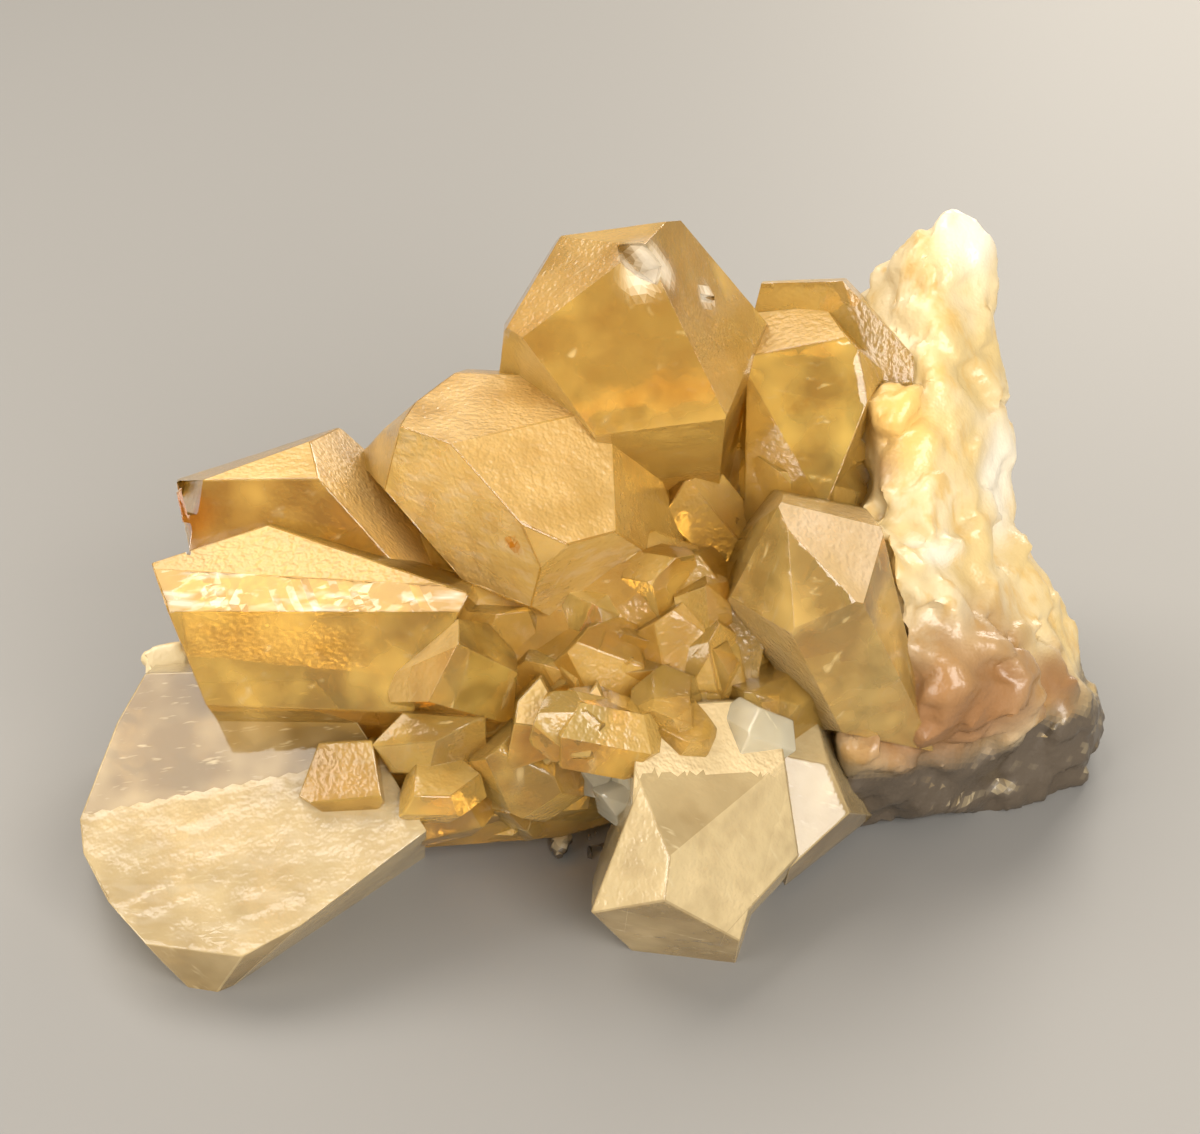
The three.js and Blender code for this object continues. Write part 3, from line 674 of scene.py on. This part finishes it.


# %% [markdown]
# ## Finishes of the faces
# Some faces grew frosted, some are as clear as glass, and some are breaks. FINISH gives each
# named face its frost, its break and its tone, all from 0 to 1. Tone runs from the duller colour
# of the crystal to the brighter one. On faces that catch strong reflections, the high tone and
# frost are partly a painted reflection. A face that isn't named gets a little frost.

# %% Which triangle lies on which face
FINISH = {
    ("crown", "top"): (0.6, 0.0, 0.7),
    ("crown", "left"): (0.45, 0.0, 0.4),
    ("crown", "front"): (0.1, 0.0, 0.6),
    ("crown", "right"): (0.35, 0.0, 0.55),
    ("crownTwin", "top"): (0.85, 0.0, 0.8),
    ("crownTwin", "front"): (0.05, 0.0, 1.0),
    ("crownBack", "top"): (0.6, 0.0, 0.9),
    ("crownBack", "right"): (0.5, 0.0, 0.9),
    ("shoulder", "summit"): (0.9, 0.0, 0.0),
    ("shoulder", "broad"): (0.8, 0.0, 0.6),
    ("shoulder", "streaked"): (0.6, 0.3, 1.0),
    ("shoulder", "lowStreaked"): (0.5, 0.3, 1.0),
    ("leftUpper", "right"): (0.95, 0.0, 0.2),
    # Painted reflection: the high tone and frost of this top face stand partly for the light it
    # reflects
    ("leftUpper", "top"): (0.85, 0.0, 0.9),
    ("leftUpper", "front"): (0.1, 0.0, 0.05),
    ("leftUpper", "left"): (0.3, 0.8, 0.0),
    ("leftUpper", "leftBevel"): (0.3, 0.6, 0.0),
    ("leftLower", "top"): (0.85, 0.0, 0.25),
    ("leftLower", "bevel"): (0.0, 1.0, 0.15),
    ("leftLower", "front"): (0.08, 0.0, 0.6),
    ("rightClear", "beige"): (0.95, 0.0, 0.6),
    ("rightClear", "first"): (0.5, 0.0, 0.5),
    ("rightClear", "third"): (0.02, 0.0, 0.8),
    ("rightClear", "fourth"): (0.02, 0.0, 0.6),
    ("rightClear", "fifth"): (0.02, 0.0, 0.7),
    ("rightClear", "sideFront"): (0.03, 0.0, 0.7),
    ("rightClear", "sideRight"): (0.03, 0.0, 0.5),
    ("brownFirst", "top"): (0.7, 0.0, 0.3),
    ("brownFirst", "left"): (0.5, 0.0, 0.1),
    ("brownFirst", "right"): (0.1, 0.0, 0.9),
    ("brownSecond", "face"): (0.45, 0.0, 0.1),
    # Painted reflection: the faces of the two bright crystals get full tone and frost, partly for
    # the light they reflect
    ("brightFirst", "face"): (1.0, 0.0, 1.0),
    ("brightSecond", "face"): (1.0, 0.0, 1.0),
    ("leftPale", "lower"): (0.3, 0.25, 0.4),
    ("leftPale", "upper"): (0.05, 0.05, 0.0),
    # Painted reflection: the roof's full tone and frost stand partly for the light it reflects
    ("lowerPale", "roof"): (0.85, 0.0, 1.0),
    ("lowerPale", "left"): (0.6, 0.0, 1.0),
    ("lowerPale", "right"): (0.5, 0.0, 1.0),
    ("lowerPaleToe", "right"): (0.4, 0.0, 0.9),
}
# Frost, break and tone of an edge, and the frost of a face that isn't named
EDGE_FINISH = (0.25, 0.04, 0.5)
PLAIN_FROST, PLAIN_BREAK = 0.25, 0.03
LEEWAY = 0.3  # mm that a triangle may lie outside its crystal
ON_FACE = 0.12  # mm that it may lie off its face
SAME_WAY = 0.98  # least cosine between its normal and that of the face
# Rust in the gap beside the crown, under a flake of the shoulder and at the end of the upper left
# crystal: place and reach
RUST = [
    ((19.7, 14.0, 53.0), 3.2), ((19.8, 16.6, 48.5), 2.4), ((-11.1, -16.7, 50.7), 1.1),
    ((-56.1, -2.2, 46.7), 4.0),
]
# Where the crown is chipped, with a painted near-white highlight on the chips: place and reach
CHIP_HIGHLIGHTS = [((5.3, 1.0, 81.2), 3.6), ((13.2, 6.6, 74.8), 2.0)]


def near_spots(points, spots):
    """How near each point is to one of the spots (place, reach), from 0 to 1."""
    ragged = points + np.stack([mounds(points, 3.5, 50 + k) for k in range(3)], axis=1)
    share = np.zeros(len(points))
    for place, reach in spots:
        away = np.linalg.norm((ragged - np.array(place)) / np.array(reach), axis=1)
        share = np.maximum(share, np.exp(-(away**4)))
    return share


def face_marks(points, triangles):
    """Frost, break and tone of each triangle from its face, and rust and the painted chip
    highlights from its place.
    """
    normal = unit(triangle_normals(points, triangles))
    centre = points[triangles].mean(axis=1)
    frost, broken, tone = (np.full(len(triangles), value) for value in EDGE_FINISH)
    for number, (name, (normals, distances)) in enumerate(faces.items()):
        inside = (centre @ normals.T <= distances + LEEWAY).all(axis=1)
        names = [key for key in CRYSTALS.get(name, {}) if key != "at"]
        for k, (n, d) in enumerate(zip(normals, distances)):
            on = inside & (np.abs(centre @ n - d) < ON_FACE) & (normal @ n > SAME_WAY)
            roll = cell_number(np.array([number, k, 3.0]), 5)
            plain = (PLAIN_FROST + 0.4 * (roll - 0.4), PLAIN_BREAK, 0.15 + 0.75 * roll)
            key = (name, names[k]) if names else None
            frost[on], broken[on], tone[on] = FINISH.get(key, plain)
    rust = near_spots(centre, RUST)
    # Painted highlight: the chips get a near-white mark
    white_and_painted_highlight = near_spots(centre, CHIP_HIGHLIGHTS)
    return dict(frost=frost, broken=broken, tone=tone, rust=rust, white_and_painted_highlight=white_and_painted_highlight)


def grown(thing, limit, mound=0.05, frosting=1.0):
    """Growth mounds on every face, and shell-shaped ripples where it broke.

    The height is mound x (mounds 7 mm wide + 0.4 x mounds 2.6 mm wide). On a break it gets
    0.5 x ripple + 0.12 x facets and sinks by 0.3 mm. The ripple is the sine of a slow mound, so
    its rings lie round a centre as the shells of a real break do.
    """
    points, triangles = finer(*mesh_arrays(thing.data), limit)
    marks = face_marks(points, triangles)
    marks["frost"] *= frosting
    share = np.zeros(len(points))
    count = np.zeros(len(points))
    for column in triangles.T:
        np.add.at(share, column, marks["broken"])
        np.add.at(count, column, 1)
    break_here = share / np.maximum(count, 1)
    ring = mounds(points, 9.0, 11) * 2.6 + mounds(points, 3.5, 12) * 0.4
    ripple = 0.6 * np.sin(6.0 * ring) + 0.4 * mounds(points, 3.2, 13)
    height = mound * (mounds(points, 7.0, 1) + 0.4 * mounds(points, 2.6, 2))
    height += break_here * (0.5 * ripple - 0.3 + 0.12 * facets(points, 4.0, 0.5, 0.8, 30))
    points = points + corner_normals(points, triangles) * height[:, None]
    points[:, 2] = np.maximum(points[:, 2], 0.0)
    set_mesh(thing, points, triangles, marks)
    print(thing.name, len(triangles), "triangles")


# The longest edge that is left in each, in mm: the golden piece stays under 200,000 triangles
grown(golden, limit=1.8)
grown(pale, limit=1.5)
grown(clear, limit=1.3, mound=0.03)
grown(small_clear, limit=0.8, mound=0.02, frosting=0.1)

# %% [markdown]
# ## The broken rock
# Under and behind the crystals is milky quartz that was broken out of a vein. It has no crystal
# faces: its surface is lumpy and glassy, with soft flats and a few steps. It is made of
# overlapping blocks, joined and skinned again with even triangles, and its edges are rubbed
# down. Then come low lumps 11 mm wide, the same as in the plain solid, and finer ones.

# %% Blocks of the rock
ROCKS = dict(
    spire=[
        (49, 31, 76.5), (51, 32, 77), (53.5, 33, 75.5), (57, 32, 71), (58, 31, 67),
        (57.5, 28, 61.5), (47, 29, 75), (44, 30, 72.5), (41.5, 31, 67), (38.5, 33, 63.5),
        (38.5, 20, 53), (57, 21, 52.5), (46.5, 13, 57), (43, 40, 62), (51, 40, 63), (36, 46, 50),
        (56, 46, 54), (54, 48, 36), (34, 48, 36),
    ],
    wall=[
        (38.5, 22, 55), (56.5, 25, 59), (57.5, 22, 52), (59.5, 20, 46.5), (61, 19, 37),
        (60.5, 18, 34), (46, 12, 57.5), (39.5, 2, 47.5), (45.5, -4, 45), (55, 2, 38),
        (39, 6, 50), (42, -2, 34), (56, 4, 30), (34, 48, 45), (56, 48, 38), (60, 44, 24),
        (30, 48, 10), (64, 46, 10),
    ],
    bump=[
        (37.5, 12, 58.5), (39.5, 13, 59.5), (43, 13, 59), (45, 11.5, 56), (45.5, 10, 52),
        (43, 8.5, 50.5), (39, 9, 51), (37.5, 10, 55.5), (41, 8.5, 56.5), (36, 32, 44),
        (42, 30, 52),
    ],
    block=[
        (60, 18, 34.5), (64.5, 17, 29.5), (67.5, 16, 25.5), (69, 15, 21.5), (71.5, 14, 16),
        (73, 12, 12.5), (75, 10, 9), (74.5, 6, 3.5), (44.5, -6, 43), (51.5, -6, 38),
        (45, -10, 33), (60.5, -3, 28), (64.5, -2, 18.5), (67, 40, 10), (67, 24, 12),
        (60, 44, 20), (40, 46, 10), (40, 20, 4),
    ],
    ridge=[
        (38.5, 1, 46), (40, -1, 46.5), (47, -8, 42), (54, -9, 35), (58, -8, 30), (52.5, -12, 33),
        (44.5, -13, 40.5), (40, -13, 47.5), (38, -11, 51), (39.5, -14, 42.5), (41, -14, 35.5),
        (45, -14, 34), (34, 20, 22), (50, 24, 14), (36, 16, 40),
    ],
    lobe=[
        (53.5, 10, 39), (59.5, 15, 36.5), (63.5, 15, 31), (66.5, 13, 27), (68, 11, 23.5),
        (70, 9, 19), (71.5, 7, 15.5), (67, 2, 17), (61.5, -1, 26), (57, 2, 32), (54.5, 6, 35.5),
        (61.5, 4.5, 29.5), (55, 42, 24), (64, 34, 12),
    ],
    lump=[
        (41, -15, 36), (44.5, -13, 38.5), (49.5, -13.5, 35), (54.5, -12, 35), (59, -9, 32),
        (63, -7, 25.5), (63.5, -7, 17.5), (59, -10, 16), (52.5, -13, 17.5), (46, -15, 19.5),
        (42, -16, 22), (50.5, -18, 30.5), (56.5, -15, 28), (45.5, -17.5, 30), (32, 10, 8),
        (56, 16, 8),
    ],
    endBlock=[
        (65, -2, 19), (70.5, 4, 16), (74.5, 8, 11.5), (75.5, 8, 6.5), (74, 5, 2.5), (71, 1, 1),
        (64.5, -5, 10), (67, -4, 16), (71.5, 2, 14), (66, 24, 6), (54, 18, 6),
    ],
    foot=[
        (75, 10, 7), (74.5, 6, 3.5), (72, 1, 0.5), (64.5, -3, 0.5), (58.5, -6, 1.5),
        (49.5, -7.5, 0.5), (43.5, -13, 9.5), (36.5, -17, 18), (45, -13, 26.5), (54.5, -10, 23),
        (64, -3, 19.5), (71, 30, 0), (60, 44, 0), (20, 46, 0), (12, 20, 0), (28, -4, 2),
        (70, 20, 7), (60, 46, 12),
    ],
    underClear=[
        (34.5, -19, 23.5), (42.5, -16, 17), (49, -10, 5.5), (40.5, -12, 3.5), (36.5, -12, 0.5),
        (34, -16, 10), (35.5, -14, 15.5), (36, 10, 14), (45, 10, 10), (30, 0, 6),
    ],
    core=[
        (-43, 20, 26), (-25.5, 24, 37.5), (-5, 28, 45.5), (15.5, 32, 50), (38.5, 28, 48.5),
        (41, 18, 41), (-40, 8, 9.5), (-25, -2, 6), (-4.5, -8, 5.5), (15, -10, 12.5),
        (37, 0, 8.5), (-40, 26, 6), (-26, 40, 4), (-30, 38, 30), (0, 44, 44), (38, 46, 50),
        (10, 46, 4), (40, 46, 4), (-20, 10, 6), (10, 4, 6), (30, 0, 8),
    ],
    heel=[
        (-34, 30, 0), (-22, 44, 0), (-2, 47, 0), (12, 44, 0), (10, 24, 0), (-18, 20, 0),
        (-32, 34, 12), (-20, 44, 14), (10, 46, 14), (10, 20, 12), (-20, 18, 12),
    ],
    shardLeft=[
        (-6.5, -15, 2), (-5.5, -18, -0), (-3.5, -17.5, 3), (-2.5, -14, 2), (-4.5, -12, 3),
    ],
    shardRight=[
        (-2, -15, 2.5), (1.5, -17, -1.5), (3, -15, 0.5), (0.5, -12, 3), (-1, -16, 0.5),
    ],
)
# The flake behind the lower left crystal
SLAB = [
    (-65, 6, 20), (-62.5, 8, 20.5), (-59, 8, 20.5), (-57, 4, 17.5), (-60, 0, 17), (-64, 2, 18),
    (-66, 16, 11), (-60, 16, 11), (-58, 10, 8),
]
LUMP_WIDTH, LUMP_HEIGHT, LUMP_USE, ROCK_SINK = 11.0, 1.5, 7, 0.3
# Finer lumps on them: width in mm, use of the noise, height in mm
FINER_LUMPS = [(5.0, 44, 0.3), (2.0, 45, 0.10)]
# Ledges across the rock: the way they climb, how far apart they are and how high, in mm
LEDGE_WAY, LEDGE_STEP, LEDGE_HEIGHT = np.array([0.55, -0.25, 0.8]), 3.4, 0.26
# Painted shade: the underside turns grey-brown up to this height
UNDERSIDE_SHADE_LEVEL = 16.5  # mm above the table up to which the underside is grey


def skinned(thing, grain):
    """The same solid under an even skin of small triangles, worked out on a grid of cells."""
    grid = thing.modifiers.new("grid", "REMESH")
    grid.mode = "VOXEL"
    grid.voxel_size = grain * MM
    return applied(thing)


def rubbed(points, triangles, rounds):
    """Every corner goes to the mean of its neighbours, a few times over, so edges wear round."""
    for _ in range(rounds):
        total = np.zeros_like(points)
        count = np.zeros(len(points))
        for a, b in ((0, 1), (1, 2), (2, 0)):
            for start, end in ((a, b), (b, a)):
                np.add.at(total, triangles[:, start], points[triangles[:, end]])
                np.add.at(count, triangles[:, start], 1)
        points = 0.5 * points + 0.5 * total / np.maximum(count, 1)[:, None]
    return points


# Stained parts of the rock: brown low down beside the clear crystal, white at the peak, golden
# in the bump beside the crown
BROWN = [((47, -14, 24), (19, 15, 14)), ((66, -6, 20), (9, 9, 6)), ((35, 4, 52), (5, 6, 5))]
WHITE = [((52, 29, 75), (6, 9, 6)), ((56, 14, 43), (5, 8, 9)), ((43, -4, 42), (7, 4, 2))]
GOLD = [((40, 7, 57), (8, 8, 7))]


def roughened(thing, limit, coarse=True):
    """Lumps about 11, 5 and 2 mm wide, one on the other, with soft flats and ledges among them.

    The height is the sum of the lumps, of worn facets 6.5 mm wide, of a saw-tooth along the way
    of the ledges and of fine facets 2.4 mm wide, less 0.3 mm for what the lumps add.
    """
    points, triangles = mesh_arrays(skinned(thing, limit).data)
    points = rubbed(points, triangles, 3)
    outward = corner_normals(points, triangles)
    place = points + SEAT
    height = np.full(len(points), -ROCK_SINK)
    for width, use, tall in FINER_LUMPS:
        height += tall * mounds(place, width, use)
    if coarse:
        height += LUMP_HEIGHT * mounds(place, LUMP_WIDTH, LUMP_USE)
    bend = np.stack([mounds(place, 9.0, 41 + k) for k in range(3)], axis=1)
    flats = facets(place + 1.5 * bend, 6.5, 0.32, 0.5, 10)
    slant = place @ LEDGE_WAY + 1.2 * bend[:, 0]
    ledges = LEDGE_HEIGHT * ((slant / LEDGE_STEP) % 1.0)
    ledges *= np.clip(0.4 + mounds(place, 12.0, 48), 0, 1)
    rough = np.clip(0.35 + 1.2 * mounds(place, 14.0, 46), 0.1, 1.0)
    worn = rubbed(np.stack([flats, flats, flats], axis=1), triangles, 2)[:, 0]
    height += worn + ledges + 0.3 * rough * facets(place, 2.4, 0.3, 0.3, 20)
    points = points + outward * height[:, None]
    points[:, 2] = np.maximum(points[:, 2], 0.0)
    centre = points[triangles].mean(axis=1)
    # Painted shade: the low parts of the rock turn grey-brown, most of all those that face down
    down = unit(triangle_normals(points, triangles))[:, 2]
    edge = UNDERSIDE_SHADE_LEVEL + 3.0 * mounds(centre, 10.0, 47)
    painted_underside_shade = np.clip((edge - centre[:, 2]) / 4, 0, 1) * np.clip(1.3 - down, 0, 1)
    marks = dict(
        brown=near_spots(centre, BROWN),
        white_and_painted_highlight=near_spots(centre, WHITE),
        gold=near_spots(centre, GOLD),
        painted_underside_shade=painted_underside_shade,
    )
    set_mesh(thing, points, triangles, marks, sharp=40)
    print(thing.name, len(triangles), "triangles")


rock_parts = [solid(name, np.array(p) - SEAT, 0) for name, p in ROCKS.items()]
rock = combine(rock_parts[0], rock_parts[1:], "UNION")
rock.name = "milky_rock"
roughened(rock, limit=0.85)
flake = solid("milky_flake", np.array(SLAB) - SEAT, 0)
roughened(flake, limit=0.6, coarse=False)

# %% [markdown]
# ## Golden quartz
# Citrine: clear quartz coloured by traces of iron. Light goes in, loses its blue on the way and
# comes out honey-gold. Frosted faces grew with a skin of tiny pits, so they scatter the light to
# a beige sheen. Breaks are glassy; their paler colour, their glints and the white of the chips are
# painted highlights. Inside there are thin clouds and veils.

# %% Golden quartz material
QUARTZ_IOR = 1.544
BUMP_DEPTH = 0.0005  # metres
# Colours of the veils, of the painted highlight on breaks, of the painted glints and chip
# highlights, and of rust
VEIL, PAINTED_BREAK_HIGHLIGHT, PAINTED_GLINT, RUSTY = "#F7E6B8", "#FBF3DF", "#FFF4E0", "#D9860F"


def mixed(tree, share, first, second):
    """A colour between two others, by a share from 0 to 1."""
    node = add(tree, "ShaderNodeMix", {0: share}, data_type="RGBA")
    for socket, value in ((node.inputs[6], first), (node.inputs[7], second)):
        if isinstance(value, str):
            socket.default_value = linear(value)
        else:
            tree.links.new(value, socket)
    return node.outputs[2]


def ramp(tree, value, start, end, low=0.0, high=1.0):
    """The value moved from the range start to end into low to high, and held there."""
    limits = {"From Min": start, "From Max": end, "To Min": low, "To Max": high}
    return add(tree, "ShaderNodeMapRange", {"Value": value, **limits}).outputs[0]


def math(tree, operation, *values):
    """One sum or product of the values, held between 0 and 1."""
    links = dict(enumerate(values))
    return add(tree, "ShaderNodeMath", links, operation=operation, use_clamp=True).outputs[0]


def mark(tree, name):
    """A number that the mesh carries for each face."""
    return add(tree, "ShaderNodeAttribute", attribute_name=name).outputs["Fac"]


def noise(tree, place, scale, detail=3.0, roughness=0.55):
    """Noise about 1 / scale metres across."""
    settings = {"Vector": place, "Scale": scale, "Detail": detail, "Roughness": roughness}
    return add(tree, "ShaderNodeTexNoise", settings).outputs["Fac"]


def quartz(name, dull, bright, frost_colour, absorb_colour, absorb, clarity, clouds=0.6):
    """Clear crystal: transmission and absorption, with frost, breaks and clouds laid over."""
    material, tree = new_material(name)
    place = add(tree, "ShaderNodeTexCoord").outputs["Object"]
    cloud = noise(tree, place, 95.0, 2.0, 0.6)  # clouds about 10 mm across
    grain = noise(tree, place, 1200.0, 1.0)  # grain of the frost, under 1 mm
    slanted = add(
        tree,
        "ShaderNodeMapping",
        {"Vector": place, "Rotation": (0.5, 0.35, 0.6), "Scale": (1.0, 4.5, 0.35)},
    ).outputs[0]
    streak = noise(tree, slanted, 300.0, 2.0, 0.6)  # thin veils about 10 mm long
    patches = noise(tree, place, 160.0, 2.0, 0.65)  # duller patches about 6 mm across
    drawn_out = add(
        tree,
        "ShaderNodeMapping",
        {"Vector": place, "Rotation": (0.0, 0.25, 0.0), "Scale": (0.25, 1.0, 1.6)},
    ).outputs[0]
    # Noise for the painted glints along a break
    shells = noise(tree, drawn_out, 420.0, 2.0, 0.6)  # glints drawn out along a break
    frosted = math(tree, "MULTIPLY", mark(tree, "frost"), ramp(tree, cloud, 0.35, 0.6, 0.7, 1.1))
    cloudy = ramp(tree, cloud, 0.42, 0.85, 0.0, clouds)
    veil = ramp(tree, streak, 0.62, 0.80, 0.0, 0.5)
    broken = ramp(tree, mark(tree, "broken"), 0.1, 0.9)
    # Tone of each face; where it is set high on strongly reflecting faces, it is partly painted
    # reflection
    colour = mixed(tree, mark(tree, "tone"), dull, bright)
    colour = mixed(tree, ramp(tree, patches, 0.45, 0.7, 0.0, 0.5), colour, dull)
    colour = mixed(tree, cloudy, colour, bright)
    colour = mixed(tree, veil, colour, VEIL)
    colour = mixed(tree, frosted, colour, frost_colour)
    # Painted highlight: breaks are mixed a little towards near white
    colour = mixed(tree, math(tree, "MULTIPLY", broken, 0.2), colour, PAINTED_BREAK_HIGHLIGHT)
    # Painted highlights: near-white glints along the breaks, and the chips
    painted_glints = math(tree, "MULTIPLY", broken, ramp(tree, shells, 0.50, 0.66, 0.0, 0.7))
    white_and_painted_highlight = math(tree, "MAXIMUM", mark(tree, "white_and_painted_highlight"), painted_glints)
    colour = mixed(tree, white_and_painted_highlight, colour, PAINTED_GLINT)
    colour = mixed(tree, mark(tree, "rust"), colour, RUSTY)
    covered = math(tree, "MULTIPLY", frosted, 0.75)
    for layer in (math(tree, "MULTIPLY", broken, 0.6), cloudy, veil, white_and_painted_highlight):
        covered = math(tree, "MAXIMUM", covered, layer)
    through = ramp(tree, covered, 0.0, 1.0, clarity, 0.12)
    rough = ramp(tree, frosted, 0.0, 1.0, 0.06, 0.46)
    strength = ramp(tree, frosted, 0.1, 1.0, 0.02, 0.8)
    bump = add(
        tree, "ShaderNodeBump", {"Height": grain, "Strength": strength, "Distance": BUMP_DEPTH}
    ).outputs[0]
    surface = add(
        tree,
        "ShaderNodeBsdfPrincipled",
        {
            "Base Color": colour,
            "Roughness": rough,
            "Transmission Weight": through,
            "IOR": QUARTZ_IOR,
            "Normal": bump,
        },
    )
    inside = add(
        tree,
        "ShaderNodeVolumeAbsorption",
        {"Color": linear(absorb_colour), "Density": absorb},
    )
    add(
        tree,
        "ShaderNodeOutputMaterial",
        {"Surface": surface.outputs[0], "Volume": inside.outputs[0]},
    )
    return material


golden_quartz = quartz(
    "golden_quartz", dull="#CF9A40", bright="#FBD46A", frost_colour="#E2BC78",
    absorb_colour="#FCE690", absorb=22.0, clarity=0.85,
)
# Pale quartz: hardly any iron, so it is greyish where it is clear and yellowish where frosted
pale_quartz = quartz(
    "pale_quartz", dull="#8E6F38", bright="#F6DCA4", frost_colour="#EAD0A0",
    absorb_colour="#FCEBC0", absorb=9.0, clarity=0.5, clouds=0.45,
)
# Smoky quartz: the clearest of the large ones, with a grey-brown breath in its thick parts
smoky_quartz = quartz(
    "smoky_clear_quartz", dull="#F0BC62", bright="#FFD880", frost_colour="#E0C49C",
    absorb_colour="#FDE8A4", absorb=6.0, clarity=0.8, clouds=0.5,
)
# Rock crystal: the small ones that grew last, nearly without colour
small_quartz = quartz(
    "small_clear_quartz", dull="#F6EAC6", bright="#FFF8E2", frost_colour="#F0E4C0",
    absorb_colour="#FBF0CC", absorb=8.0, clarity=0.62, clouds=0.3,
)
print("crystal materials:", len(bpy.data.materials) - 1)

# %% [markdown]
# ## Milky quartz
# The rock is quartz full of tiny bubbles, so it is cream and a little see-through, with fine
# slanting veins and brown stains of iron low down. Its underside gets a painted grey shade.

# %% Milky quartz material


def milky(name):
    """Cream rock with brown, white and golden parts, and a painted grey shade on its underside."""
    material, tree = new_material(name)
    place = add(tree, "ShaderNodeTexCoord").outputs["Object"]
    patch = noise(tree, place, 70.0, 3.0, 0.6)
    fine = noise(tree, place, 620.0, 2.0, 0.65)
    slanted = add(
        tree,
        "ShaderNodeMapping",
        {"Vector": place, "Rotation": (0.3, -0.5, 0.0), "Scale": (1.0, 1.0, 0.28)},
    ).outputs[0]
    vein = noise(tree, slanted, 260.0, 3.0, 0.6)
    colour = mixed(tree, ramp(tree, patch, 0.40, 0.62), "#E0CDA4", "#D2B880")
    colour = mixed(tree, ramp(tree, vein, 0.52, 0.66, 0.0, 0.7), colour, "#CFA860")
    colour = mixed(tree, mark(tree, "gold"), colour, "#DDB468")
    # Whiter patches of the rock itself; on the crystals this mark holds painted highlights
    colour = mixed(tree, mark(tree, "white_and_painted_highlight"), colour, "#E9DFC9")
    colour = mixed(tree, math(tree, "MULTIPLY", mark(tree, "brown"), 0.95), colour, "#8A5E36")
    # Painted shade on the underside
    colour = mixed(tree, mark(tree, "painted_underside_shade"), colour, "#54493C")
    surface = add(
        tree,
        "ShaderNodeBsdfPrincipled",
        {
            "Base Color": colour,
            "Roughness": 0.32,
            "IOR": QUARTZ_IOR,
            "Normal": add(
                tree,
                "ShaderNodeBump",
                {"Height": fine, "Strength": 0.35, "Distance": BUMP_DEPTH},
            ).outputs[0],
        },
    )
    add(tree, "ShaderNodeOutputMaterial", {"Surface": surface.outputs[0]})
    return material


milky_quartz = milky("milky_quartz")
print("rock material:", milky_quartz.name)

# %% [markdown]
# ## Putting it in the frame
# All of it is one stone, so every piece rides on the same body and stands for the one solid.

# %% Ride, replace and measure
for thing, material in (
    (golden, golden_quartz),
    (pale, pale_quartz),
    (clear, smoky_quartz),
    (small_clear, small_quartz),
    (rock, milky_quartz),
    (flake, milky_quartz),
):
    thing.data.materials.clear()
    thing.data.materials.append(material)
    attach(thing, "root")
    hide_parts("quartz_cluster")
    print(thing.name, len(thing.data.polygons), "triangles")
